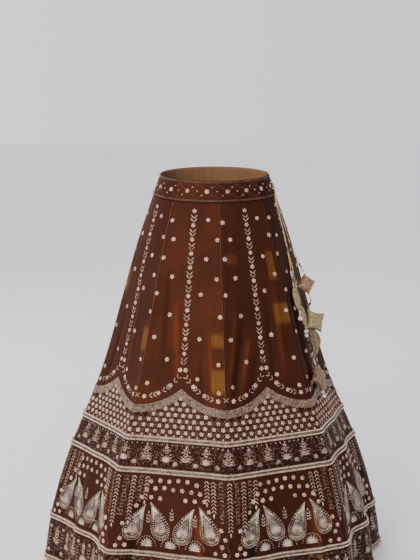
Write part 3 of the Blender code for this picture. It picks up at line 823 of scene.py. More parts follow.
def silk_velvet(tree, shader, brown):
    """Cut silk pile over a gold weft: a soft dark face with a warm edge sheen, and painted gold
    highlights where the pile catches light. Its colour follows the tone attribute, painted shade
    included, and the painted sheen."""
    settle(shader, Roughness=0.70, Specular_IOR_Level=0.10)
    settle(shader, Sheen_Weight=0.12, Sheen_Roughness=0.40, Sheen_Tint="#C8702C")
    place = add_node(tree, "TexCoord").outputs["Object"]
    uv = add_node(tree, "UVMap", {"uv_map": "cloth"}).outputs["UV"]
    # patches of pile pressed different ways, about 90 mm across
    patches = add_node(tree, "TexNoise", {}, {"Vector": place, "Scale": 11.0, "Detail": 3.0})
    # streaks down the warp, 3 mm apart and 150 mm long
    stretched = add_node(tree, "Mapping", {}, {"Vector": uv, "Scale": (330.0, 7.0, 1.0)}).outputs[0]
    streaks = add_node(tree, "TexNoise", {}, {"Vector": stretched, "Scale": 1.0, "Detail": 2.0})
    total = add_node(tree, "Attribute", {"attribute_name": "tone"}).outputs["Fac"]
    for noise, share in ((patches, 0.34), (streaks, 0.16)):
        centred = {0: noise.outputs["Fac"], 1: share, 2: -share / 2}
        varied = add_node(tree, "Math", {"operation": "MULTIPLY_ADD"}, centred)
        sum_of = {0: total, 1: varied.outputs[0]}
        total = add_node(tree, "Math", {"operation": "ADD"}, sum_of).outputs[0]
    browns = ((0.05, "#120501"), (0.32, "#290D04"), (0.58, brown), (0.90, "#5C280D"))
    # the painted gold highlights' colours, streaked along the warp
    golds = ((0.30, "#553010"), (0.70, "#6C461C"))
    ground = add_node(tree, "ValToRGB", {}, {"Fac": total}, browns)
    gold = add_node(tree, "ValToRGB", {}, {"Fac": streaks.outputs["Fac"]}, golds)
    # painted highlight: gold mixed in where the painted sheen attribute is set
    lustre = add_node(tree, "Attribute", {"attribute_name": "lustre"}).outputs["Fac"]
    shown = {0: lustre, 6: ground.outputs["Color"], 7: gold.outputs["Color"]}
    colour = add_node(tree, "Mix", COLOUR_MIX, shown).outputs[2]
    # the pile, 1 mm tufts, drawn coarser than real so that it shows
    pile = add_node(tree, "TexNoise", {}, {"Vector": place, "Scale": 900.0, "Detail": 2.0})
    cover(tree, shader, colour, pile.outputs["Fac"], 0.25, 0.0006)


def plain_lining(tree, shader, colour):
    """Cotton lining, a plain weave of 0.8 mm threads: matt and a little uneven."""
    settle(shader, Roughness=0.85, Specular_IOR_Level=0.2)
    uv = add_node(tree, "UVMap", {"uv_map": "cloth"}).outputs["UV"]
    weave = add_node(tree, "TexChecker", {}, {"Vector": uv, "Scale": 1250.0})
    soft = add_node(tree, "TexNoise", {}, {"Vector": uv, "Scale": 24.0}).outputs["Fac"]
    shown = {0: soft, 6: dimmed(colour, 0.72), 7: colour}
    shade = add_node(tree, "Mix", COLOUR_MIX, shown).outputs[2]
    cover(tree, shader, shade, weave.outputs["Fac"], 0.3, 0.0003)


def thread_work(tree, shader, pale, deep, metallic, roughness, thread=0.5):
    """Satin stitch or zari, threads a named number of millimetres apart across each stitch: a
    fine ribbed gleam, its colour drifting from stitch to stitch."""
    settle(shader, Metallic=metallic, Roughness=roughness, Specular_IOR_Level=0.5)
    place = add_node(tree, "TexCoord").outputs["Object"]
    uv = add_node(tree, "UVMap", {"uv_map": "cloth"}).outputs["UV"]
    across = {"Vector": uv, "Scale": WAVE_BAND / thread, "Distortion": 1.2, "Detail": 1.0}
    threads = add_node(tree, "TexWave", {"bands_direction": "DIAGONAL"}, across)
    # the dye drifts over about 14 mm
    drift = add_node(tree, "TexNoise", {}, {"Vector": place, "Scale": 70.0, "Detail": 2.0})
    dyes = ((0.32, deep), (0.62, pale))
    ramp = add_node(tree, "ValToRGB", {}, {"Fac": drift.outputs["Fac"]}, dyes)
    dips = {0: 0.35, 6: "#FFFFFF", 7: threads.outputs["Color"]}
    dim = add_node(tree, "Mix", COLOUR_MIX, dips).outputs[2]
    shown = {0: 1.0, 6: ramp.outputs["Color"], 7: dim}
    colour = add_node(tree, "Mix", COLOUR_PRODUCT, shown).outputs[2]
    cover(tree, shader, colour, threads.outputs["Fac"], 0.35, 0.0003)


def nacre(tree, shader, pale, deep, roughness=0.24, metallic=0.0):
    """Glass beads with a nacre coat: bright, smooth, and faintly clouded from bead to bead."""
    settle(shader, Roughness=roughness, Metallic=metallic, Coat_Weight=0.5, Coat_Roughness=0.12)
    place = add_node(tree, "TexCoord").outputs["Object"]
    # clouds about 6 mm across, a bead or two
    clouds = add_node(tree, "TexNoise", {}, {"Vector": place, "Scale": 160.0, "Detail": 1.0})
    cloud = clouds.outputs["Fac"]
    ramp = add_node(tree, "ValToRGB", {}, {"Fac": cloud}, ((0.3, deep), (0.66, pale)))
    cover(tree, shader, ramp.outputs["Color"], cloud, 0.1, 0.0002)


def brocade(tree, shader, ground, figure, accent, motif_size=9.0, stripes=0.0):
    """Zari brocade, metal weft on silk: small ragged blooms of a named size in millimetres, dark
    and pale picks a millimetre or two long, and a fine rib that catches the light."""
    settle(shader, Roughness=0.40, Metallic=0.3, Specular_IOR_Level=0.5, Sheen_Weight=0.1)
    uv = add_node(tree, "UVMap", {"uv_map": "cloth"}).outputs["UV"]
    # coordinates in millimetres, shaken by up to 5 mm so that no bloom is a plain round
    shake = add_node(tree, "TexNoise", {}, {"Vector": uv, "Scale": 0.45, "Detail": 2.0})
    moved = {0: shake.outputs["Color"], 1: (5.0, 5.0, 5.0), 2: uv}
    shaken = add_node(tree, "VectorMath", {"operation": "MULTIPLY_ADD"}, moved).outputs[0]
    spread = {"Vector": shaken, "Scale": 1.0 / motif_size, "Randomness": 0.8}
    cells = add_node(tree, "TexVoronoi", {"voronoi_dimensions": "2D"}, spread)
    rings = ((0.16, accent), (0.27, figure), (0.36, ground), (0.62, figure))
    blooms = add_node(tree, "ValToRGB", {}, {"Fac": cells.outputs["Distance"]}, rings)
    base = blooms.outputs["Color"]
    if stripes:
        along = {"Vector": uv, "Scale": WAVE_BAND / stripes, "Distortion": 0.8}
        bands = add_node(tree, "TexWave", {"bands_direction": "X"}, along).outputs["Fac"]
        shown = {0: bands, 6: dimmed(accent, 0.75), 7: base}
        base = add_node(tree, "Mix", COLOUR_MIX, shown).outputs[2]
    picks = add_node(tree, "TexNoise", {}, {"Vector": uv, "Scale": 0.85, "Detail": 4.0})
    shades = ((0.38, "#4A3E34"), (0.50, "#C9C2B8"), (0.66, "#FFFFFF"))
    shade = add_node(tree, "ValToRGB", {}, {"Fac": picks.outputs["Fac"]}, shades)
    shown = {0: 1.0, 6: base, 7: shade.outputs["Color"]}
    colour = add_node(tree, "Mix", COLOUR_PRODUCT, shown).outputs[2]
    # ribs 1.1 mm apart
    weft = {"Vector": uv, "Scale": WAVE_BAND / 1.1, "Distortion": 2.0, "Detail": 1.0}
    ribs = add_node(tree, "TexWave", {"bands_direction": "Y"}, weft)
    sum_of = {0: ribs.outputs["Fac"], 1: picks.outputs["Fac"]}
    height = add_node(tree, "Math", {"operation": "ADD"}, sum_of).outputs[0]
    cover(tree, shader, colour, height, 0.5, 0.0005)


def studio_floor(tree, shader, colour):
    """Matt studio board, with a faint mottling."""
    settle(shader, Roughness=0.9, Specular_IOR_Level=0.1)
    place = add_node(tree, "TexCoord").outputs["Object"]
    mottle = add_node(tree, "TexNoise", {}, {"Vector": place, "Scale": 1.4}).outputs["Fac"]
    shown = {0: mottle, 6: dimmed(colour, 0.96), 7: colour}
    cover(tree, shader, add_node(tree, "Mix", COLOUR_MIX, shown).outputs[2])


# Each finish: its recipe, then its colours, which may be named as in the panel, and its numbers
FINISHES = {
    # the skirt's cloth: deep red-brown, almost matt, with painted shade and painted gold highlights
    # from its attributes
    "silk_velvet_brown": (silk_velvet, "velvet"),
    # the inside: dull tan
    "cotton_lining_tan": (plain_lining, "#8C6A4C"),
    # flat silk floss in the flowers: pale blush with a soft gleam
    "satin_stitch_blush": (thread_work, "flower_thread", "#A97D65", 0.0, 0.45),
    # silver-gilt thread gone greenish: the vines' leaves
    "zari_olive_silver": (thread_work, "#B59D82", "#6C5846", 0.25, 0.42),
    # old gold thread, brown in its dips: strewn ground and fine chains
    "zari_antique_gold": (thread_work, "#9C7E60", "#523C2A", 0.25, 0.45),
    # pale rose metal thread: the motifs that catch the eye
    "zari_rose_silver": (thread_work, "#C9B09C", "#806654", 0.2, 0.45),
    # the same thread worn dull: sprigs between the motifs
    "zari_dull_rose": (thread_work, "#A88E7C", "#664C3C", 0.2, 0.5),
    # dark copper thread: the lattice and the flowers' middles
    "zari_dull_copper": (thread_work, "#6E4C3A", "#3A2417", 0.2, 0.5),
    # copper silk beside the seams: a hair line lighter than the velvet
    "zari_seam_copper": (thread_work, "#8A4E2C", "#5C3018", 0.1, 0.6),
    # tarnished silver: the flat leaf inside each mango
    "zari_dull_silver": (thread_work, "#7E766C", "#3E3833", 0.4, 0.45, 0.9),
    # bright silver: the frieze's rays and fans
    "zari_silver": (thread_work, "#D4C8B8", "#887B6B", 0.45, 0.36, 0.7),
    # wound braid under the cut beads: brown, matt
    "braid_dark": (thread_work, "#6E5648", "#38281E", 0.15, 0.55, 1.2),
    # wound braid between the laces' pearls: dull gold
    "braid_rose_gold": (thread_work, "#7C6652", "#43352A", 0.2, 0.5, 1.2),
    # the laces' pearls: warm cream, a small highlight on each
    "glass_pearl_blush": (nacre, "pearl", "#967A66"),
    # the latkans' pearls: whiter and glossier
    "glass_pearl_white": (nacre, "#D8CDBF", "#978A7C", 0.16),
    # smoked glass beads on the dori: dark and shiny
    "glass_bead_smoke": (nacre, "#5E4E44", "#2C211B", 0.18, 0.3),
    # gilt metal beads: yellow glints
    "gilt_bead": (nacre, "#D8B36A", "#9C7638", 0.25, 0.9),
    # cut glass beads in the scalloped trim: dusty beige sparkle
    "cut_bead_beige": (nacre, "#B2937F", "#5F4A3B", 0.3, 0.25),
    # the squares' and leaves' brocades: rose, olive and striped gold
    "brocade_rose_gold": (brocade, "#A8875F", "#C49A78", "#6E4630", 9.0),
    "brocade_olive_gold": (brocade, "#B09A68", "#CDBB8C", "#7A6440", 8.0),
    "brocade_striped": (brocade, "#B4966A", "#CDB292", "#806448", 9.0, 4.0),
    # plied silk cord: ecru, with a gleam along each ply
    "twisted_silk_ecru": (thread_work, "#CDB892", "#94805C", 0.1, 0.5, 0.8),
    # the floor: white board, a little uneven
    "studio_board": (studio_floor, "floor"),
}
MADE_FINISHES = {}


def finish_named(name):
    """A material by name, made once from its recipe."""
    if name not in MADE_FINISHES:
        colours = bpy.context.scene.skirt_colours
        recipe, *values = FINISHES[name]
        values = [tuple(getattr(colours, one)) if one in COLOUR_NAMES else one for one in values]
        material = bpy.data.materials.new(name)
        material.use_nodes = True
        tree = material.node_tree
        recipe(tree, tree.nodes["Principled BSDF"], *values)
        MADE_FINISHES[name] = material
    return MADE_FINISHES[name]


# What a maker would change
class SkirtSizes(bpy.types.PropertyGroup):
    """Sizes that a maker would change."""

    crease_share: bpy.props.FloatProperty(
        name="Crease depth", description="Share of the soft folds' depth", default=1.0, min=0,
        max=2, subtype="FACTOR",
    )
    flower: bpy.props.FloatProperty(
        name="Flower", description="Diameter of a strewn flower", default=0.0122,
        subtype="DISTANCE", unit="LENGTH",
    )
    lattice_flower: bpy.props.FloatProperty(
        name="Lattice flower", description="Diameter of a flower in the lattice", default=0.0120,
        subtype="DISTANCE", unit="LENGTH",
    )
    lace_pearl: bpy.props.FloatProperty(
        name="Lace pearl", description="Diameter of a pearl on the laces", default=0.0049,
        subtype="DISTANCE", unit="LENGTH",
    )
    trim_bead: bpy.props.FloatProperty(
        name="Trim bead", description="Diameter of a bead on the scallops", default=0.0030,
        subtype="DISTANCE", unit="LENGTH",
    )


class SkirtColours(bpy.types.PropertyGroup):
    """Colours that a maker would change."""

    velvet: bpy.props.FloatVectorProperty(
        name="Velvet", description="The velvet's main brown", size=4, subtype="COLOR",
        default=linear("#391808"), min=0, max=1,
    )
    flower_thread: bpy.props.FloatVectorProperty(
        name="Flower thread", description="The flowers' pale silk", size=4, subtype="COLOR",
        default=linear("#E8C1A9"), min=0, max=1,
    )
    pearl: bpy.props.FloatVectorProperty(
        name="Pearl", description="The laces' pearls", size=4, subtype="COLOR",
        default=linear("#DCC1AE"), min=0, max=1,
    )
    floor: bpy.props.FloatVectorProperty(
        name="Floor", description="The studio floor", size=4, subtype="COLOR",
        default=linear("#F2F2F4"), min=0, max=1,
    )


COLOUR_NAMES = tuple(SkirtColours.__annotations__)


# Cloth pieces
def cloth_tone_and_shade(azimuth, drop):
    """How light the velvet is: its kali's tone, shifted in each band, plus painted light and shade
    on the folds and seam grooves.
    """
    tone = table_column(KALIS, "tone")[kali_place(azimuth)[0]]
    below = smooth_step((drop - scallop_drop(azimuth)) / 0.006)
    hem = smooth_step((drop - LACE_DROPS["lower"] - LACE_WIDTH) / 0.004)
    wide_band = smooth_step((drop - LACE_DROPS["middle"]) / 0.01) * (1 - hem)
    # half of each kali's tone stays below the scallops, and kali_2's painted shade stays with it
    tone = tone + below * (BORDER_TONE - tone) * 0.5
    tone = tone + BELOW_SHIFT * below + WIDE_BAND_SHIFT * wide_band + HEM_SHIFT * hem
    # painted light and shade: fold ridges lighter, troughs and seam grooves darker
    return tone + FOLD_SHADING * creases(azimuth, drop)


def cloth_painted_sheen(azimuth, drop):
    """Painted gold sheen, highlights painted into the colour: for each row, its strength times an
    eased window in azimuth and in drop.
    """
    total = np.zeros(np.broadcast(azimuth, drop).shape)
    degrees = np.degrees(signed_turn(azimuth, 0.0))
    for start, end, top, foot, strength in PAINTED_SHEENS[1:]:
        turned = np.where(degrees < start - 180, degrees + 360, degrees)
        window = smooth_step((turned - start) / 0.9) * smooth_step((end - turned) / 0.4 + 0.5)
        window = window * smooth_step((drop - top) / 0.012) * smooth_step((foot - drop) / 0.012)
        total = np.maximum(total, strength * window)
    return total


def cloth_piece(name, azimuth, drop, node, lift=0.0):
    """A velvet shell on the cloth over a grid of places, thickened inwards and lined."""
    azimuth, drop = np.broadcast_arrays(azimuth, drop)
    # the cloth's UV map is in metres, at the skirt's middling radius of 0.35 m
    uv = np.stack([azimuth * 0.35, drop], axis=-1)
    # the velvet's tone with its painted shade, and its painted gold sheen
    tone_shade_and_sheen = {"tone": cloth_tone_and_shade(azimuth, drop), "lustre": cloth_painted_sheen(azimuth, drop)}
    finishes = ["silk_velvet_brown", "cotton_lining_tan"]
    faces = grid_quads(*azimuth.shape)
    made = make_piece(name, cloth(azimuth, drop, lift), faces, finishes, uv, tone_shade_and_sheen)
    wall = made.modifiers.new("wall", "SOLIDIFY")
    wall.thickness = CLOTH_THICKNESS + lift
    wall.offset = -1
    wall.material_offset = 1
    wall.material_offset_rim = 0
    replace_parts(made, node)
    return made


def make_kalis():
    """The flared panels, side by side with a seam gap, their columns closer near the seams."""
    share = np.linspace(0, 1, KALI_COLUMNS + 1)
    share = share - COLUMN_CROWDING * np.sin(2 * math.pi * share) / (2 * math.pi)
    drop = np.linspace(WAISTBAND_HEIGHT + SEAM_GAP, SKIRT_LENGTH, KALI_ROWS + 1)[:, None]
    clear = SEAM_GAP / 2 / (section_value("half_width", drop) * section_value("depth_ratio", drop))
    for number in range(KALI_COUNT):
        first, last = number * KALI_ANGLE + clear, (number + 1) * KALI_ANGLE - clear
        name = f"kali_{number + 1}"
        azimuth = first + (last - first) * share
        made = cloth_piece(f"{name}_velvet", azimuth, drop, name)


def make_waistband():
    """A strip round the waist whose ends meet at the slit."""
    half_slit = SLIT_WIDTH / 2 / float(section_value("half_width", 0.03))
    slit = math.radians(SLIT_AZIMUTH)
    azimuth = np.linspace(slit + half_slit, slit + 2 * math.pi - half_slit, 301)[None, :]
    drop = np.linspace(0, WAISTBAND_HEIGHT, 13)[:, None]
    made = cloth_piece("waistband_cloth", azimuth, drop, "waistband", WAISTBAND_PROUD)


# Embroidery
def sew(name, parts, finish):
    """One piece of several parts, each of them points, faces and UVs."""
    points, faces, uv = joined(parts)
    return make_piece(name, points, faces, [finish], uv)


def motif(*groups):
    """Rows of x, y, turn, length and width share; given in millimetres, kept in metres."""
    rows = np.concatenate([np.array(group, float).reshape(-1, 5) for group in groups])
    rows[:, [0, 1, 3]] *= 0.001
    return rows


def fan(x, y, count, spread, length, width, shorten=0.25):
    """Stitches from one point, pointing up and to both sides, the outer ones shorter."""
    side = np.linspace(-1, 1, count)
    return [(x, y, -90 + spread * s, length * (1 - shorten * s * s), width) for s in side]


def chevrons(x, y, count, pitch, length, width, opening, up=True):
    """Pairs of stitches one below another, each pair opening upwards or downwards."""
    middle = -90 if up else 90
    return [
        (x, y + row * pitch, middle + side * opening, length, width)
        for row in range(count)
        for side in (-1, 1)
    ]


def repeated(rows, azimuth, drop, scale=1.0, mirror=1.0):
    """A motif's stitches at every place, as the azimuth, drop, turn, length and width of each."""
    azimuth, drop, scale, mirror = (
        np.ravel(one)[:, None] for one in np.broadcast_arrays(azimuth, drop, scale, mirror)
    )
    x, y, turn, length, width = rows.T
    per_radian, per_drop = span_of(azimuth, drop)
    return (
        (azimuth + mirror * scale * x / per_radian).ravel(),
        (drop + scale * y / per_drop).ravel(),
        np.where(mirror < 0, 180 - turn, turn + 0 * mirror).ravel(),
        (scale * length).ravel(),
        np.broadcast_to(width, (len(azimuth), len(width))).ravel(),
    )


def motif_part(
    shape, rows, azimuth, drop, scale=1.0, mirror=1.0, relief=0.0012, lift=EMBROIDERY_LIFT
):
    """A motif laid at every place, each of its stitches a copy of the shape."""
    return stitched(shape, *repeated(rows, azimuth, drop, scale, mirror), relief, lift)


def speckle(rng, count, top, foot, size):
    """Short stitches strewn between two drops, at even chances over the cloth and any turn."""
    azimuth = rng.uniform(0, 2 * math.pi, count)
    drop = rng.uniform(top, foot, count)
    turn = rng.uniform(0, 360, count)
    length = size * rng.uniform(0.6, 1.3, count)
    return stitched(TACK, azimuth, drop, turn, length, 0.30, 0.0007)


def flowers_at(rng, azimuth, drop, diameter, lift=EMBROIDERY_LIFT):
    """Flowers turned at random, and the knot at each one's middle."""
    azimuth, drop = np.broadcast_arrays(azimuth, drop)
    turn = rng.uniform(0, 72, azimuth.shape)
    size = diameter / 2 * rng.uniform(0.93, 1.05, azimuth.shape)
    petals = stitched(FLOWER, azimuth, drop, turn, size, 1.0, 0.0015, lift)
    knots = stitched(DOT, azimuth, drop, 0.0, diameter * 0.11, 1.0, 0.0008, lift + 0.0006)
    return petals, knots


def beside(azimuth, across, drop):
    """The azimuth that lies some metres of cloth across from another one."""
    per_radian, _ = span_of(azimuth, np.broadcast_to(drop, np.shape(azimuth)))
    return azimuth + across / per_radian


# Strewn flowers beside each seam: metres across from it at the hip, and the drop
SCATTER = (
    ("across", "drop"),
    (-0.053, 0.100), (0.010, 0.105), (-0.015, 0.150), (0.036, 0.152),
    (-0.053, 0.202), (0.007, 0.202), (-0.019, 0.252), (0.038, 0.252),
    (-0.060, 0.293), (0.007, 0.297), (-0.010, 0.347), (0.048, 0.350),
    (-0.067, 0.406), (0.017, 0.408), (-0.014, 0.470), (0.060, 0.466),
    (-0.074, 0.507), (0.019, 0.525), (-0.017, 0.539),
)
VINE_TOP, VINE_FOOT, VINE_PITCH = 0.078, 0.470, 0.0368
VINE_FORK, VINE_FORK_HALF_WIDTH = 0.487, 0.0074
VINE_LEAVES = motif(chevrons(0, 0.5, 2, 9.4, 14.4, 0.25, 40))
CROSSED_LEAVES = motif([(0, 0, -90 + turn, 9.5, 0.30) for turn in (-50, 50, 130, -130)])
# Places along a branch, from the seam to the kali's middle
BRANCH_FLOWERS = (0.16, 0.46, 0.72)
BRANCH_LEAVES = (0.26, 0.345, 0.55, 0.63, 0.80, 0.88)


def branch_place(share):
    """The vine's branch, share 0 at the seam and 1 at the kali's middle: 19 mm above the scalloped
    edge, and 24 mm x share^3 more."""
    azimuth = share * KALI_ANGLE / 2
    return azimuth, scallop_drop(azimuth) - 0.019 - 0.024 * share**3


def branch_leaves(side):
    """Pairs of leaves on one side's branches, opening ahead along the branch."""
    leaves = []
    for share in BRANCH_LEAVES:
        at, lower = branch_place(share)
        ahead, higher = branch_place(share + 0.02)
        radius = float(section_value("half_width", lower))
        heading = math.degrees(math.atan2(float(higher - lower), (ahead - at) * radius))
        heading = heading if side > 0 else 180 - heading
        for opening in (-38, 38):
            places = SEAMS + side * at, lower, heading + opening
            leaves.append(stitched(LEAF, *places, 0.0124, 0.26, 0.0009))
    return leaves


def make_vines():
    """Vines down the kalis' middles, their branches over the scallops, and the strewn flowers."""
    diameter = bpy.context.scene.skirt_sizes.flower
    rng = np.random.default_rng(11)
    down = np.arange(VINE_TOP, VINE_FOOT, VINE_PITCH)
    places = [np.meshgrid(MIDDLES, down, indexing="ij")]
    between = np.meshgrid(MIDDLES, down + VINE_PITCH * 0.52, indexing="ij")
    leaves = [motif_part(LEAF, VINE_LEAVES, *between, relief=0.0009)]
    for side in (-1, 1):
        places.append((beside(MIDDLES, side * VINE_FORK_HALF_WIDTH, VINE_FORK), VINE_FORK))
    for side in (-1, 1):
        for share in BRANCH_FLOWERS:
            at, lower = branch_place(share)
            places.append((SEAMS + side * at, lower))
        leaves += branch_leaves(side)
    leaves.append(motif_part(LEAF, CROSSED_LEAVES, SEAMS, branch_place(0.0)[1] - 0.004))
    table = np.array(SCATTER[1:])
    seam, across = np.meshgrid(SEAMS, table[:, 0], indexing="ij")
    drop = table[:, 1] + rng.normal(0, 0.0015, seam.shape)
    # the strewn flowers draw together towards the narrow waist
    fit = np.clip(drop / 0.25, 0.62, 1.0)
    strewn = beside(seam, fit * (across + rng.normal(0, 0.002, seam.shape)), drop)
    places.append((strewn, drop))
    flowers, knots = zip(*(flowers_at(rng, *place, diameter) for place in places))
    sew("vine_flowers", flowers, "satin_stitch_blush")
    sew("vine_knots", knots, "zari_antique_gold")
    sew("vine_leaves", leaves, "zari_olive_silver")
    # a line of copper thread beside each seam
    down = np.linspace(WAISTBAND_HEIGHT + 0.004, SCALLOP_VALLEY_DROP - 0.003, 100)
    seams, down = np.meshgrid(SEAMS, down, indexing="ij")
    line = ribbon(beside(seams, -0.0018, down), down, 0.0009, 0.0003)
    sew("seam_stitches", [line], "zari_seam_copper")


LATTICE_COLUMNS, LATTICE_ROWS = 96, 7
LATTICE_PITCH = 2 * math.pi / LATTICE_COLUMNS
LATTICE_ROW = 0.0138
LATTICE_START = 0.6405
LATTICE_END = 0.651
# Half the gap between a lattice line's two threads, as an azimuth there
LATTICE_THREAD_SHIFT = 0.0011 / 0.345
LATTICE_BUDS = motif(fan(0, 2.0, 3, 48, 6.0, 0.62))


def make_lattice():
    """Flowers in a diagonal lattice of couched thread, between the scallops and the first lace."""
    diameter = bpy.context.scene.skirt_sizes.lattice_flower
    rng = np.random.default_rng(23)
    numbers = np.arange(LATTICE_ROWS), np.arange(LATTICE_COLUMNS)
    row, column = np.meshgrid(*numbers, indexing="ij")
    azimuth = (column + 0.5 * (row % 2)) * LATTICE_PITCH
    drop = LATTICE_START - LATTICE_ROW * row
    inside = drop > scallop_foot(azimuth) + 0.0045
    azimuth = azimuth[inside] + rng.normal(0, 0.0012, inside.sum())
    flowers, knots = flowers_at(rng, azimuth, drop[inside], diameter)
    foot = (np.arange(LATTICE_COLUMNS) + 0.5) * LATTICE_PITCH
    flowers = [flowers, motif_part(LEAF, LATTICE_BUDS, foot, LATTICE_END - 0.001)]
    sew("lattice_flowers", flowers, "satin_stitch_blush")

    # each thread climbs from the lace until it meets the scalloped trim
    lines = []
    slope = LATTICE_PITCH / 2 / LATTICE_ROW
    height = np.linspace(0, 0.1, 101)
    for side in (-1, 1):
        for shift in (-LATTICE_THREAD_SHIFT, LATTICE_THREAD_SHIFT):
            start = foot[:, None] + ((LATTICE_START - LATTICE_END) * slope * side + shift)
            free = LATTICE_END - height > scallop_foot(start + slope * side * height) - 0.001
            reach = np.cumprod(free, axis=1).sum(axis=1) / 1000
            along = reach[:, None] * np.linspace(0, 1, 15)
            path = start + slope * side * along
            lines.append(ribbon(path, LATTICE_END - along, 0.0010, 0.0006))
    sew("lattice_threads", [*lines, knots], "zari_dull_copper")


# Sections of the laces and of the scalloped trim: share of the width, and lift in millimetres
LACE_PROFILE = (
    (0.0, 0.3), (0.0, 0.9), (0.05, 1.4), (0.20, 1.1), (0.36, 1.1), (0.44, 1.5), (0.5, 1.8),
    (0.56, 1.5), (0.64, 1.1), (0.80, 1.1), (0.95, 1.4), (1.0, 0.9), (1.0, 0.3),
)
TRIM_PROFILE = (
    (0.0, 0.3), (0.0, 0.8), (0.08, 1.2), (0.3, 1.1), (0.5, 1.3), (0.7, 1.1), (0.92, 1.2),
    (1.0, 0.8), (1.0, 0.3),
)
PEARL_INSET = 0.0032
TRIM_ROWS = 6


def make_laces():
    """Each lace: a braid with two rows of pearls along its edges."""
    radius = bpy.context.scene.skirt_sizes.lace_pearl / 2
    for name, top in LACE_DROPS.items():
        shape = [hoop(top, top + LACE_WIDTH, LACE_PROFILE)]
        braid = sew(f"{name}_lace_braid", shape, "braid_rose_gold")
        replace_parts(braid, f"pearl_lace_{name}")
        rows = []
        for offset, share in ((PEARL_INSET, 0.0), (LACE_WIDTH - PEARL_INSET, 0.5)):
            azimuth = even_azimuths(top + offset, 2.16 * radius, share)
            rows.append(stitched(BALL, azimuth, top + offset, 0.0, radius, 1.0, radius, 0.0004))
        sew(f"{name}_lace_pearls", rows, "glass_pearl_blush")


def make_scallops():
    """The scalloped braid with rows of small cut beads, a few of them left out."""
    rng = np.random.default_rng(31)
    shape = [hoop(scallop_drop, scallop_foot, TRIM_PROFILE)]
    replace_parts(sew("scallop_braid", shape, "braid_dark"), "scallop_trim")
    radius = bpy.context.scene.skirt_sizes.trim_bead / 2
    pale, dark = [], []
    for row in range(TRIM_ROWS):

        def line(azimuth, share=(row + 0.5) / TRIM_ROWS):
            top = scallop_drop(azimuth)
            return top + share * (scallop_foot(azimuth) - top)

        azimuth = even_azimuths(line, 2.2 * radius, 0.5 * (row % 2))
        azimuth = azimuth + rng.normal(0, 0.0012, azimuth.shape)
        drop = line(azimuth) + rng.normal(0, 0.0004, azimuth.shape)
        kind = rng.uniform(size=azimuth.shape)
        size = radius * rng.uniform(0.75, 1.15, azimuth.shape)
        for parts, chosen in ((pale, kind < 0.62), (dark, (kind >= 0.62) & (kind < 0.84))):
            places = azimuth[chosen], drop[chosen], 0.0, size[chosen], 1.0
            parts.append(stitched(DOT, *places, 0.0015, 0.0011))
    sew("scallop_beads", pale, "cut_bead_beige")
    sew("scallop_beads_gold", dark, "zari_antique_gold")


LOTUS = motif(
    fan(0, 5.0, 7, 84, 15.0, 0.36),
    fan(0, 7.5, 5, 62, 10.5, 0.42),
    chevrons(0, -13.0, 3, -6.6, 8.8, 0.34, 42),
    [(0, -28.0, -90, 9.5, 0.36)],
)
LOTUS_STEM = motif(
    chevrons(0, 10.0, 2, -6.0, 13.5, 0.30, 62),
    chevrons(0, -2.0, 3, -7.0, 10.4, 0.34, 42),
    [(0, -21.0, -90, 11.0, 0.36), (0, 10.0, -90, 12.0, 0.16)],
)
ARROW = motif(chevrons(0, -5.0, 2, 4.5, 9.6, 0.30, 46, up=False), [(0, -7.0, 90, 16.0, 0.14)])
LOTUS_SPRIGS = motif(
    chevrons(-11, -6, 3, 7.0, 6.4, 0.34, 50), chevrons(12, -8, 3, 7.0, 6.4, 0.34, 50),
    fan(-9, -17, 3, 70, 6.2, 0.4), fan(9, -19, 3, 70, 6.2, 0.4),
)
HEM_FANS = motif(fan(0, 0, 5, 80, 9, 0.40))
HEM_SPRIGS = motif(
    chevrons(-10, -26, 5, 9.0, 8.0, 0.34, 50), chevrons(10, -22, 5, 9.0, 8.0, 0.34, 50)
)
# The bands' motifs round the skirt, and the drops between which their ground is strewn
LOTUS_COUNT, HEM_COUNT = 40, 56
LOTUS_REACH, HEM_REACH = (0.669, 0.728), (0.954, 1.051)
LOTUS_DROP, LOTUS_DOT_DROP = 0.701, 0.6715


def dense_band(name, seed, reach, bright, gold, pale, sprigs):
    """Bright motifs, and duller sprigs between them, on two layers of strewn stitches; gold and
    pale give each layer's count and size."""
    rng = np.random.default_rng(seed)
    sew(f"{name}_motifs", bright, "zari_rose_silver")
    ground = speckle(rng, gold[0], *reach, gold[1])
    sew(f"{name}_ground", [ground], "zari_antique_gold")
    strewn = speckle(rng, pale[0], *reach, pale[1])
    sew(f"{name}_sprigs", [strewn, sprigs], "zari_dull_rose")


def make_lotus_band():
    """Lotuses and leafy stems in turn, small arrows between them, on strewn antique zari."""
    step = 2 * math.pi / LOTUS_COUNT
    places = np.arange(LOTUS_COUNT) * step
    dots = even_azimuths(LOTUS_DOT_DROP, 0.0135)
    bright = [
        motif_part(LEAF, LOTUS, places[1::2], LOTUS_DROP + 0.006),
        motif_part(LEAF, LOTUS_STEM, places[0::2], LOTUS_DROP),
        motif_part(LEAF, ARROW, places + step / 2, 0.7165),
        stitched(DOT, dots, LOTUS_DOT_DROP, 0.0, 0.0019, 1.0, 0.0012),
    ]
    sprigs = motif_part(LEAF, LOTUS_SPRIGS, places, LOTUS_DROP + 0.004, relief=0.0008)
    dense_band("lotus", 41, LOTUS_REACH, bright, (3600, 0.0040), (2600, 0.0038), sprigs)


def make_hem_band():
    """A dense band above the hem: lotuses and sprigs close together on strewn zari."""
    step = 2 * math.pi / HEM_COUNT
    places = np.arange(HEM_COUNT) * step
    bright = [
        motif_part(LEAF, LOTUS, places[0::2], 1.013, 1.2),
        motif_part(LEAF, LOTUS_STEM, places[1::2], 1.004, 1.2),
        motif_part(LEAF, ARROW, places + step / 2, 1.038),
        motif_part(LEAF, HEM_FANS, places + step / 2, 0.974),
    ]
    sprigs = motif_part(LEAF, HEM_SPRIGS, places + step / 4, 1.010, relief=0.0008)
    dense_band("hem", 67, HEM_REACH, bright, (6500, 0.0048), (4500, 0.0044), sprigs)


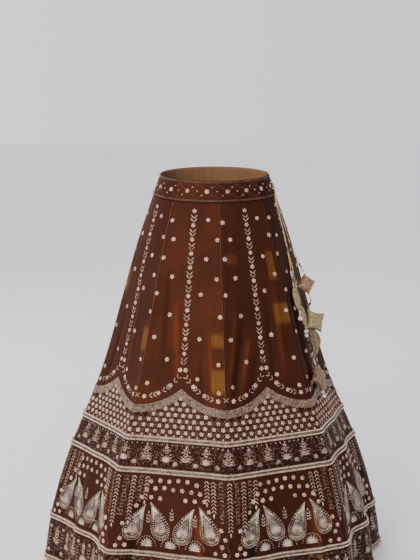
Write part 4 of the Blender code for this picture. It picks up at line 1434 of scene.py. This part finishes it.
# Chains hanging at each seam: metres across from it, length, and whether the chain is bold
CHAINS = (
    (-0.060, 0.052, 1),
    (-0.042, 0.080, 1),
    (-0.021, 0.108, 0),
    (0.000, 0.124, 1),
    (0.019, 0.108, 0),
    (0.038, 0.118, 1),
    (0.057, 0.076, 0),
    (0.074, 0.066, 1),
)
CHAIN_TOP = 0.751
CHAIN_PITCH = 0.0086
# Rows of the wide band's flowers: drop, millimetres across from a kali's middle, and bow upwards
WIDE_FLOWERS = (
    (0.764, (-60, -36, -12, 12, 36, 60), 0.006),
    (0.783, (-70, -48, -24, 0, 24, 48, 70), 0.004),
    (0.803, (-82, -58, -34, 34, 58, 82), 0.0),
    (0.826, (-94, 94), 0.0),
    (0.868, (-122, 124), 0.0),
    (0.890, (-114, 116, 134), 0.0),
    (0.908, (-126, 128), 0.0),
    (0.926, (-134, -116, 114, 134), 0.0),
)
PAISLEY_LENGTH = 88.0
PAISLEY_MIDDLE = np.array([-0.03, 0.16])


def paisley_outline(count):
    """A mango: x = 0.36 sin t |sin(t/2)|^1.3 + 0.34 (0.5 - y)^2.4 - 0.05, y = -0.5 cos t."""
    t = (np.arange(count) + 0.5) * 2 * math.pi / count
    x, y = 0.36 * np.sin(t) * np.abs(np.sin(t / 2)) ** 1.3, -0.5 * np.cos(t)
    return np.stack([x + 0.34 * (0.5 - y) ** 2.4 - 0.05, y], axis=-1)


def paisley_ring(count, share, reach=0.0, length=1.5, width=1.0):
    """A ring of beads, or of stitches pointing outwards, at a share of the way to the outline."""
    from_middle = paisley_outline(count) - PAISLEY_MIDDLE
    place = (PAISLEY_MIDDLE + share * from_middle) * PAISLEY_LENGTH
    turn = np.degrees(np.arctan2(from_middle[:, 1], from_middle[:, 0]))
    size = np.linalg.norm(from_middle, axis=1) * PAISLEY_LENGTH * reach + (reach == 0) * length
    return np.column_stack([place, turn, size, np.full(count, width)])


def paisley_plate(share, count=26):
    """The mango's inner leaf, a low crowned plate drawn in to the outline's middle."""
    edge = paisley_outline(count) - PAISLEY_MIDDLE
    rings = [
        np.column_stack([PAISLEY_MIDDLE + part * share * edge, np.full(count, height)])
        for part, height in ((0.45, 0.9), (0.85, 1.0), (1.0, 0.0))
    ]
    return fans_and_rings([*PAISLEY_MIDDLE, 0.85], rings)


def mirrored(shape, side):
    """A shape turned over left to right, its faces kept facing out."""
    if side > 0:
        return shape
    points, faces = shape
    return points * (-1, 1, 1), faces[:, ::-1]


def make_chains():
    """Leafy chains that hang from the second lace at every seam, bold and fine ones in turn."""
    rng = np.random.default_rng(53)
    bold, fine = [], []
    for across, length, is_bold in CHAINS:
        down = CHAIN_TOP + CHAIN_PITCH * np.arange(int(length / CHAIN_PITCH))
        seam, drop = np.meshgrid(SEAMS, down, indexing="ij")
        azimuth = beside(seam, across, drop)
        parts = bold if is_bold else fine
        size, opening = (0.0108, 42) if is_bold else (0.0076, 52)
        for side in (-1, 1):
            parts.append(stitched(LEAF, azimuth, drop, 90 + side * opening, size, 0.25, 0.0009))
        if is_bold:
            end = down[-1] + 0.008
            parts.append(stitched(LEAF, azimuth[:, -1], end, 90, 0.013, 0.42, 0.0009))
            continue
        for _ in range(5):
            strewn = azimuth + rng.normal(0, 0.016, azimuth.shape)
            lower = drop + rng.uniform(-0.004, 0.004, drop.shape)
            turn = rng.uniform(0, 360, drop.shape)
            parts.append(stitched(TACK, strewn, lower, turn, 0.0048, 0.36, 0.0006))
    sew("chain_leaves", bold, "zari_rose_silver")
    sew("chain_fine", fine, "zari_antique_gold")


# The frieze: each mango's metres across from a kali's middle, its side and its drop
MANGOES = ((-0.096, 1, 0.868), (-0.032, -1, 0.862), (0.032, 1, 0.868), (0.096, -1, 0.862))
MANGO_BEADS = motif(paisley_ring(52, 1.05, length=1.7), paisley_ring(34, 0.60, length=1.5))
MANGO_RAYS = motif(paisley_ring(40, 0.70, reach=0.27, width=0.36))
MANGO_BLOOM = motif(
    fan(-2, 24, 9, 92, 20, 0.30),
    fan(-2, 27, 5, 60, 13, 0.36),
    chevrons(1, 0, 3, -8, 9.5, 0.32, 40),
)
# Low lotuses between the mangoes, each under an arc of beads, with a sprig above it
FRIEZE_LOTUSES = ((-0.064, 0.868), (0.0, 0.858), (0.064, 0.868))
FRIEZE_FOOT = 0.916
LOW_LOTUS = motif(fan(0, 8, 9, 88, 22, 0.20), fan(0, 10, 5, 60, 11, 0.30))
LOTUS_ARC = motif(
    [(25 * math.cos(a), 8 + 25 * math.sin(a), 0, 1.5, 1) for a in np.linspace(-3.05, -0.09, 13)]
)
SPRIG = motif(chevrons(0, -2, 3, -7.5, 9.0, 0.34, 42), [(0, -24, -90, 9.0, 0.4)])
# Curled stems below the chains: metres across from a seam, and the drop of the top
CURLED_STEMS = ((-0.030, 0.885), (0.022, 0.892), (0.046, 0.874), (-0.008, 0.905))
STEM_LENGTH = 0.036


def make_wide_band():
    """Flowers in rows under the second lace, and a frieze of leaning mangoes and lotuses."""
    diameter = bpy.context.scene.skirt_sizes.flower
    rng = np.random.default_rng(59)
    flowers, knots = [], []
    for drop, offsets, bow in WIDE_FLOWERS:
        middle, across = np.meshgrid(MIDDLES, np.array(offsets) / 1000, indexing="ij")
        bowed = drop - bow * (1 - (across / 0.06) ** 2) + rng.normal(0, 0.001, across.shape)
        made = flowers_at(rng, beside(middle, across, bowed), bowed, diameter)
        flowers.append(made[0])
        knots.append(made[1])
    sew("wide_flowers", flowers, "satin_stitch_blush")

    # a kali's four mangoes lean in turn, with a lotus between each two
    silver, rose, plates = [], [], []
    for across, mirror, drop in MANGOES:
        azimuth = beside(MIDDLES, across, drop)
        plate = mirrored(paisley_plate(0.58), mirror)
        plates.append(stitched(plate, azimuth, drop, 0.0, PAISLEY_LENGTH / 1000, 1.0, 0.0010))
        rose.append(motif_part(DOT, MANGO_BEADS, azimuth, drop, 1.0, mirror, 0.0014))
        silver.append(motif_part(LEAF, MANGO_RAYS, azimuth, drop, 1.0, mirror, 0.0015))
        rose.append(motif_part(LEAF, MANGO_BLOOM, azimuth, drop, 1.0, mirror, 0.0010, 0.0013))
    for across, sprig_drop in FRIEZE_LOTUSES:
        azimuth = beside(MIDDLES, across, FRIEZE_FOOT)
        silver.append(motif_part(LEAF, LOW_LOTUS, azimuth, FRIEZE_FOOT, relief=0.0014))
        rose.append(motif_part(DOT, LOTUS_ARC, azimuth, FRIEZE_FOOT, relief=0.0014))
        rose.append(motif_part(LEAF, SPRIG, azimuth, sprig_drop))
    sew("frieze_plates", plates, "zari_dull_silver")
    sew("frieze_silver", silver, "zari_silver")
    sew("frieze_rose", rose, "zari_rose_silver")

    stems = []
    run = np.linspace(0, 1, 14)
    for across, drop in CURLED_STEMS:
        bend = across + 0.006 * np.sin(run * 5.0 + across * 90)
        azimuth = beside(SEAMS[:, None] + 0 * run, bend, drop)
        stems.append(ribbon(azimuth, drop + STEM_LENGTH * run, 0.0013, 0.0007))
    sew("wide_stems", [*stems, *knots], "zari_dull_copper")


WAISTBAND_FLOWERS = 18
# How far from each edge of the waistband its two cords lie
EDGE_CORDS = (0.0028, 0.0052)
# Radians that stay free on each side of the slit
FLOWER_CLEAR, DOT_CLEAR, THREAD_CLEAR = 0.06, 0.04, 0.03


def make_waistband_work():
    """Flowers in wide diamonds of fine thread, dots between them, and two cords along each edge."""
    diameter = bpy.context.scene.skirt_sizes.flower
    rng = np.random.default_rng(71)
    lift = WAISTBAND_PROUD + EMBROIDERY_LIFT
    step = 2 * math.pi / WAISTBAND_FLOWERS
    places = (np.arange(WAISTBAND_FLOWERS) + 0.4) * step
    slit = math.radians(SLIT_AZIMUTH)
    places = places[np.abs(signed_turn(places, slit)) > FLOWER_CLEAR]
    flowers, knots = flowers_at(rng, places, WAISTBAND_HEIGHT / 2, diameter, lift)
    around = np.concatenate([places + step / 2, places + step / 4, places - step / 4])
    drop = np.repeat([WAISTBAND_HEIGHT / 2, 0.017, 0.038], len(places))
    clear = np.abs(signed_turn(around, slit)) > DOT_CLEAR
    dots = stitched(DOT, around[clear], drop[clear], 0.0, 0.0017, 1.0, 0.0010, lift)
    sew("waistband_flowers", [flowers, dots], "satin_stitch_blush")
    start, end = slit + THREAD_CLEAR, slit + 2 * math.pi - THREAD_CLEAR
    run = start + (end - start) * np.linspace(0, 1, 720)
    lines = [
        ribbon(run, drop, 0.0015, 0.0009, lift)
        for edge in EDGE_CORDS
        for drop in (edge, WAISTBAND_HEIGHT - edge)
    ]
    fine = np.linspace(0, 1, 12)
    for side in (-1, 1):
        path = places[:, None] + side * (fine - 0.5) * step
        path = path[np.abs(signed_turn(path, slit)).min(axis=1) > THREAD_CLEAR]
        drop = 0.009 + (WAISTBAND_HEIGHT - 0.018) * fine + 0 * path
        lines.append(ribbon(path, drop, 0.0008, 0.0005, lift))
    sew("waistband_threads", [*lines, knots], "zari_dull_copper")


# Dori and latkans
def make_doris():
    """Four runs of twisted silk cord, three plies to an 11 mm turn."""
    for name, route in DORI_ROUTES.items():
        path = line_points(route, spacing=DORI_STEP)
        shape = tube(path, DORI_DIAMETER / 2, 18, lobes=3, depth=0.18, pitch=0.011)
        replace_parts(sew(f"{name}_twist", [shape], "twisted_silk_ecru"), name)


def face_up(points, face):
    """Whether a flat face points to +Z: the sign of its edges' cross product."""
    a, b, c = points[face[:3]]
    return np.cross(b - a, c - a)[2] > 0


def pillow_grid(across, down, thickness, count):
    """Two crowned sheets with one edge: z = half thickness x ((1-u^4)(1-v^4))^fullness."""
    u, v = np.meshgrid(np.linspace(-1, 1, count), np.linspace(-1, 1, count))
    x = across / 2 * u * (1 - PUFF_DRAWN_IN * (1 - v**2) * np.abs(u))
    y = down / 2 * v * (1 - PUFF_DRAWN_IN * (1 - u**2) * np.abs(v))
    crown = thickness / 2 * ((1 - u**4) * (1 - v**4)) ** PUFF_FULLNESS
    front = np.stack([x, y, crown], axis=-1).reshape(-1, 3)
    inside = ((np.abs(u) < 1) & (np.abs(v) < 1)).ravel()
    back_number = np.arange(count * count)
    back_number[inside] = count * count + np.arange(inside.sum())
    points = np.concatenate([front, front[inside] * (1, 1, -1)])
    front_faces = grid_quads(count, count)[:, ::-1]
    front_faces = front_faces if face_up(points, front_faces[0]) else front_faces[:, ::-1]
    back_faces = back_number[front_faces][:, ::-1]
    uv = np.stack([u, v], axis=-1).reshape(-1, 2) * (across * 500, down * 500)
    return points, np.concatenate([front_faces, back_faces]), np.concatenate([uv, uv[inside]])


def swollen(points, faces, pressure):
    """The pillow's points after Blender's Cloth has filled it, at ten times its size.

    Each point moves as the cloth did, but no further than the cap.
    """
    mesh = bpy.data.meshes.new("filling")
    mesh.from_pydata((points * SIMULATION_SCALE).tolist(), [], faces.tolist())
    filled = new_object("filling", mesh)
    settings = filled.modifiers.new("filling", "CLOTH").settings
    for name, value in FILLING.items():
        setattr(settings, name, value)
    settings.uniform_pressure_force = pressure
    settings.effector_weights.gravity = 0
    for number in range(1, SIMULATION_FRAMES + 1):
        bpy.context.scene.frame_set(number)
    done = filled.evaluated_get(bpy.context.evaluated_depsgraph_get()).data
    out = np.empty(len(points) * 3, np.float32)
    done.vertices.foreach_get("co", out)
    moved = out.reshape(-1, 3).astype(float) / SIMULATION_SCALE - points
    bpy.context.scene.frame_set(1)
    bpy.data.objects.remove(filled)
    bpy.data.meshes.remove(mesh)
    far = np.linalg.norm(moved, axis=1, keepdims=True)
    return points + moved * np.minimum(1, SIMULATION_CAP / np.maximum(far, 1e-9))


def make_squares():
    """Stuffed squares: brocade filled by Cloth, with a gilt cord round the seam."""
    grid = np.arange(PUFF_POINTS**2).reshape(PUFF_POINTS, PUFF_POINTS)
    edge = np.concatenate([grid[0, :-1], grid[:-1, -1], grid[-1, :0:-1], grid[:0:-1, 0], [0]])
    for name, (finish, pressure) in PUFFS.items():
        size = HANGINGS[name]
        start = size.thickness * PUFF_START
        points, faces, uv = pillow_grid(size.across, size.down, start, PUFF_POINTS)
        points = swollen(points, faces, pressure)
        # the filled square is brought back to its own size
        points = points * (np.array([size.across, size.down, size.thickness]) / np.ptp(points, 0))
        points = transformed(points, hanging_frame(name))
        puff = make_piece(f"{name}_brocade", points, faces, [finish], uv, sharp=60)
        smooth = puff.modifiers.new("smooth", "SUBSURF")
        smooth.levels = smooth.render_levels = 1
        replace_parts(puff, name)
        cord = tube(points[edge], 0.0007, 8, lobes=2, depth=0.2, pitch=0.004)
        sew(f"{name}_edging", [cord], "zari_antique_gold")


def make_leaves():
    """Stuffed leaves: a spindle with pointed ends, quilted across.

    The size is sin(pi s)^0.9 along the leaf, and the quilting 1 - 0.10 |sin(7 pi s + 2 cos a)|.
    """
    angle = round_angles(LEAF_SIDES)
    share = (np.arange(LEAF_RINGS) + 1) / (LEAF_RINGS + 1)
    size = np.sin(math.pi * share) ** 0.9
    quilting = 1 - 0.10 * np.abs(np.sin(7 * math.pi * share[:, None] + 2.0 * np.cos(angle)))
    quads = grid_quads(LEAF_RINGS, LEAF_SIDES, closed=True)
    one = np.arange(LEAF_SIDES)
    after, last = (one + 1) % LEAF_SIDES, (LEAF_RINGS - 1) * LEAF_SIDES
    top = np.full(LEAF_SIDES, LEAF_RINGS * LEAF_SIDES)
    ends = [np.stack([top, one, after], 1), np.stack([top + 1, last + after, last + one], 1)]
    faces = np.concatenate([quads[:, [0, 1, 2]], quads[:, [0, 2, 3]], *ends])
    for name in ("latkan_leaf_1", "latkan_leaf_2"):
        piece = HANGINGS[name]
        x = np.outer(size, np.cos(angle)) * piece.across / 2
        z = np.outer(size, np.sin(angle)) * piece.thickness / 2 * quilting
        y = np.broadcast_to((-piece.down / 2 * np.cos(math.pi * share))[:, None], x.shape)
        points = np.stack([x, y, z], axis=-1).reshape(-1, 3)
        points = np.concatenate([points, [[0, -piece.down / 2, 0], [0, piece.down / 2, 0]]])
        placed = transformed(points, hanging_frame(name))
        finish = ["brocade_olive_gold"]
        uv = points[:, :2] * 1000
        leaf = make_piece(f"{name}_brocade", placed, faces, finish, uv)
        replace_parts(leaf, name)


def make_tail():
    """The gathered tail: rings that turn from one square's plane to the next one's.

    Their flutes are 1 + (0.15 cos(9a + 0.6) + 0.08 cos(14a + 2)) x (1 - 0.4 share).
    """
    line = line_points(TAIL_LINE, count=TAIL_ROWS)
    share = np.linspace(0, 1, TAIL_ROWS)[:, None]
    first = np.array(hanging_frame(TAIL_LINE[0][0]))
    last = np.array(upright_frame(TAIL_LINE[-1][0]))
    across, out = (
        unit((1 - share) * first[:3, axis] + share * last[:3, axis]) for axis in (0, 2)
    )
    angle = round_angles(TAIL_SIDES)
    knots = np.linspace(0, 1, len(TAIL_RINGS) - 1)
    wide, deep = (
        through_points(share, knots, table_column(TAIL_RINGS, name)) for name in TAIL_RINGS[0]
    )
    folds = 0.15 * np.cos(9 * angle + 0.6) + 0.08 * np.cos(14 * angle + 2.0)
    flute = 1 + folds * (1 - 0.4 * share)
    points = (
        line[:, None, :]
        + (wide * flute * np.cos(angle))[..., None] * across[:, None, :]
        + (deep * flute * np.sin(angle))[..., None] * out[:, None, :]
    )
    length = share * lengths_along(line)[-1] * 1000
    uv = np.stack(np.broadcast_arrays(angle * 12, length), axis=-1)
    shape = closed_rings(points, uv, 1)
    tail = sew("latkan_tail_brocade", [shape], "brocade_striped")
    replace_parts(tail, "latkan_tail")


def ball_at(place, diameter, down=None, drop_shape=False):
    """A bead or a pear-shaped pearl, its axis along down: radius = half diameter x sin(pi s)."""
    share = np.linspace(0, 1, 13)
    radii = np.sin(math.pi * share) * diameter / 2
    if drop_shape:
        radii = radii * (0.55 + 0.45 * smooth_step(share * 1.5))
    heights = np.cos(math.pi * share) * diameter / 2
    points, faces = solid_of_turning(radii, heights, 18)
    if down is not None:
        turn = Vector(down).to_track_quat("-Z", "Y").to_matrix()
        points = points @ np.array(turn).T
    return points + np.array(place), faces, points[:, :2] * 1000


def make_pearls():
    """The pearls under the leaves and the last square, and those that link the tail to it."""
    white, gilt = [], []
    for piece, share_across, share_down, swing, diameters in DROPS.values():
        placing = cloth_frame(HANGINGS[piece].azimuth, HANGINGS[piece].drop, 0.0)
        swung = placing @ Matrix.Rotation(math.radians(-swing), 4, "Z")
        down = np.array(swung.col[1].to_3d())
        place = np.array(tie_point(piece, share_across, share_down))
        for diameter in diameters:
            big = diameter == max(diameters)
            centre = place + down * diameter / 2
            white.append(ball_at(centre, diameter, down, big))
            if big:
                gilt.append(ball_at(centre - down * diameter * 0.52, 0.0034, down))
            place = place + down * (diameter + RESTING_GAP)
    line = line_points(TAIL_LINE, count=TAIL_ROWS)
    start = line[-1] + unit(line[-1] - line[-2]) * RESTING_GAP
    way = np.array(tie_point("latkan_puff_3", -1.0, -1.0)) - start
    pitch = np.linalg.norm(way) / LINK_PEARLS
    for number in range(LINK_PEARLS):
        centre = start + unit(way) * pitch * (number + 0.5)
        white.append(ball_at(centre, pitch - RESTING_GAP))
    pearls = sew("latkan_pearls", white, "glass_pearl_white")
    sew("latkan_pearl_caps", gilt, "gilt_bead")
    nodes = [f"{name}_pearl_{n}" for name, row in DROPS.items() for n in range(1, len(row[4]) + 1)]
    nodes += [f"latkan_link_pearl_{n}" for n in range(1, LINK_PEARLS + 1)]
    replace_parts(pearls, *nodes)


def make_beads():
    """Clusters of beads strung on the dori, and what hangs on each cord."""
    paths = {name: line_points(route, spacing=DORI_STEP) for name, route in DORI_ROUTES.items()}
    strings = {}
    for route, first, count, pitch, diameter, finish in BEADS:
        path = paths[route]
        along = lengths_along(path)
        start = along[np.argmin(np.abs(-path[:, 2] - first))]
        for number in range(count):
            at = min(start + number * pitch, along[-1] - diameter / 2)
            centre = np.array([np.interp(at, along, path[:, axis]) for axis in range(3)])
            strings.setdefault((route, finish), []).append(ball_at(centre, diameter))
    beads = {name: [] for name in DORI_ROUTES}
    for (route, finish), parts in strings.items():
        beads[route].append(sew(f"{route}_{finish}", parts, finish))


# Stage
def make_lamp(name, place, size, power, colour):
    """A square area lamp that points at the skirt's middle."""
    light = bpy.data.lights.new(name, "AREA")
    light.size = size
    light.energy = power
    light.color = linear(colour)[:3]
    lamp = new_object(name, light)
    lamp.location = place
    aim = Vector(LAMP_AIM) - Vector(place)
    lamp.rotation_euler = aim.to_track_quat("-Z", "Y").to_euler()


def make_camera():
    """The camera where the photograph was taken from; the shift puts the object in its column."""
    azimuth, pitch = math.radians(CAMERA_AZIMUTH), math.radians(CAMERA_PITCH)
    back = Vector((math.sin(azimuth), -math.cos(azimuth), 0))
    right = Vector((math.cos(azimuth), math.sin(azimuth), 0))
    shift = (OBJECT_COLUMN - FRAME_WIDTH / 2) / FOCAL_PIXELS * CAMERA_DISTANCE / math.cos(pitch)
    forward = -back * math.cos(pitch) + Vector((0, 0, -math.sin(pitch)))
    camera_data = bpy.data.cameras.new("camera")
    camera_data.lens = FOCAL_PIXELS / FRAME_HEIGHT * SENSOR_WIDTH
    camera_data.sensor_width = SENSOR_WIDTH
    camera = new_object("camera", camera_data)
    up = right.cross(forward)
    facing = Matrix([list(right), list(up), list(-forward)]).transposed().to_4x4()
    facing.translation = back * CAMERA_DISTANCE + Vector((0, 0, CAMERA_HEIGHT)) - right * shift
    camera.matrix_world = facing
    bpy.context.scene.camera = camera


def make_stage():
    """A wide floor under the hem, soft lamps, a sky brighter on the left, and the camera."""
    corners = np.array([(-1, -1, 0), (1, -1, 0), (1, 1, 0), (-1, 1, 0)]) * FLOOR_HALF_WIDTH
    corners[:, 2] = -SKIRT_LENGTH - FLOOR_GAP
    mesh = bpy.data.meshes.new("floor")
    mesh.from_pydata(corners.tolist(), [], [(0, 1, 2, 3)])
    mesh.materials.append(finish_named("studio_board"))
    new_object("floor", mesh)

    world = bpy.data.worlds.new("studio")
    world.use_nodes = True
    bpy.context.scene.world = world
    tree = world.node_tree
    background = tree.nodes["Background"]
    background.inputs["Color"].default_value = linear(SKY)
    direction = add_node(tree, "TexCoord").outputs["Generated"]
    sideways = add_node(tree, "SeparateXYZ", {}, {"Vector": direction}).outputs["X"]
    ramp = {0: sideways, 1: SKY_SLOPE, 2: SKY_STRENGTH}
    strength = add_node(tree, "Math", {"operation": "MULTIPLY_ADD"}, ramp).outputs[0]
    tree.links.new(strength, background.inputs["Strength"])
    for lamp in LAMPS:
        make_lamp(*lamp)
    make_camera()


# Operators
def finished(*makers):
    """Runs the makers and says FINISHED; raises an error if one of them makes no object."""
    for make in makers:
        before = len(bpy.data.objects)
        make()
        if len(bpy.data.objects) == before:
            raise RuntimeError(f"{make.__name__} made no object")
    return {"FINISHED"}


class MakeStage(bpy.types.Operator):
    """Makes the floor, the lamps, the sky and the camera."""

    bl_idname = "lehenga.stage"
    bl_label = "Stage"

    def execute(self, context):
        return finished(make_stage)


class MakeDori(bpy.types.Operator):
    """Makes the drawstring's free ends."""

    bl_idname = "lehenga.dori"
    bl_label = "Dori"

    def execute(self, context):
        return finished(make_doris)


class MakeLatkans(bpy.types.Operator):
    """Makes the latkans: stuffed squares and leaves, the gathered tail and the pearls."""

    bl_idname = "lehenga.latkans"
    bl_label = "Latkans"

    def execute(self, context):
        return finished(make_squares, make_leaves, make_tail, make_pearls)


class MakeBeads(bpy.types.Operator):
    """Strings the beads on the dori; needs the dori and the latkans."""

    bl_idname = "lehenga.beads"
    bl_label = "Dori beads"

    def execute(self, context):
        return finished(make_beads)


class MakeWaistband(bpy.types.Operator):
    """Makes the waistband and its embroidery."""

    bl_idname = "lehenga.waistband"
    bl_label = "Waistband"

    def execute(self, context):
        return finished(make_waistband, make_waistband_work)


class MakeKalis(bpy.types.Operator):
    """Makes the velvet kalis."""

    bl_idname = "lehenga.kalis"
    bl_label = "Kalis"

    def execute(self, context):
        return finished(make_kalis)


class MakeLaces(bpy.types.Operator):
    """Makes the pearl laces."""

    bl_idname = "lehenga.laces"
    bl_label = "Pearl laces"

    def execute(self, context):
        return finished(make_laces)


class MakeScallops(bpy.types.Operator):
    """Makes the scalloped, beaded trim."""

    bl_idname = "lehenga.scallops"
    bl_label = "Scalloped trim"

    def execute(self, context):
        return finished(make_scallops)


class MakeVines(bpy.types.Operator):
    """Embroiders the vines and the strewn flowers."""

    bl_idname = "lehenga.vines"
    bl_label = "Vines"

    def execute(self, context):
        return finished(make_vines)


class MakeLattice(bpy.types.Operator):
    """Embroiders the lattice of flowers."""

    bl_idname = "lehenga.lattice"
    bl_label = "Lattice"

    def execute(self, context):
        return finished(make_lattice)


class MakeLotusBand(bpy.types.Operator):
    """Embroiders the band of lotuses."""

    bl_idname = "lehenga.lotus_band"
    bl_label = "Lotus band"

    def execute(self, context):
        return finished(make_lotus_band)


class MakeWideBand(bpy.types.Operator):
    """Embroiders the wide band: its leafy chains, its flowers and its frieze of mangoes."""

    bl_idname = "lehenga.wide_band"
    bl_label = "Wide band"

    def execute(self, context):
        return finished(make_chains, make_wide_band)


class MakeHemBand(bpy.types.Operator):
    """Embroiders the dense band above the hem."""

    bl_idname = "lehenga.hem_band"
    bl_label = "Hem band"

    def execute(self, context):
        return finished(make_hem_band)


# In the order in which they are made
OPERATORS = (
    MakeStage, MakeDori, MakeLatkans, MakeBeads, MakeWaistband, MakeKalis, MakeLaces, MakeScallops,
    MakeVines, MakeLattice, MakeLotusBand, MakeWideBand, MakeHemBand,
)


class LehengaPanel(bpy.types.Panel):
    """Lists the skirt's sizes, colours and pieces."""

    bl_idname = "VIEW3D_PT_lehenga"
    bl_label = "Lehenga skirt"
    bl_space_type = "VIEW_3D"
    bl_region_type = "UI"
    bl_category = "Lehenga"

    def draw(self, context):
        for group in (context.scene.skirt_sizes, context.scene.skirt_colours):
            box = self.layout.box()
            for name in type(group).__annotations__:
                box.prop(group, name)
        for operator in OPERATORS:
            self.layout.operator(operator.bl_idname)


CLASSES = (SkirtSizes, SkirtColours, *OPERATORS, LehengaPanel)


def register():
    """Registers the classes and hangs the two groups of properties on the scene."""
    for one in CLASSES:
        bpy.utils.register_class(one)
    bpy.types.Scene.skirt_sizes = bpy.props.PointerProperty(type=SkirtSizes)
    bpy.types.Scene.skirt_colours = bpy.props.PointerProperty(type=SkirtColours)


def unregister():
    """Takes back what register did."""
    del bpy.types.Scene.skirt_colours
    del bpy.types.Scene.skirt_sizes
    for one in reversed(CLASSES):
        bpy.utils.unregister_class(one)


def main():
    register()
    for operator in OPERATORS:
        group, name = operator.bl_idname.split(".")
        if getattr(getattr(bpy.ops, group), name)() != {"FINISHED"}:
            raise RuntimeError(f"{operator.bl_label} was not finished")


if __name__ == "__main__":
    main()
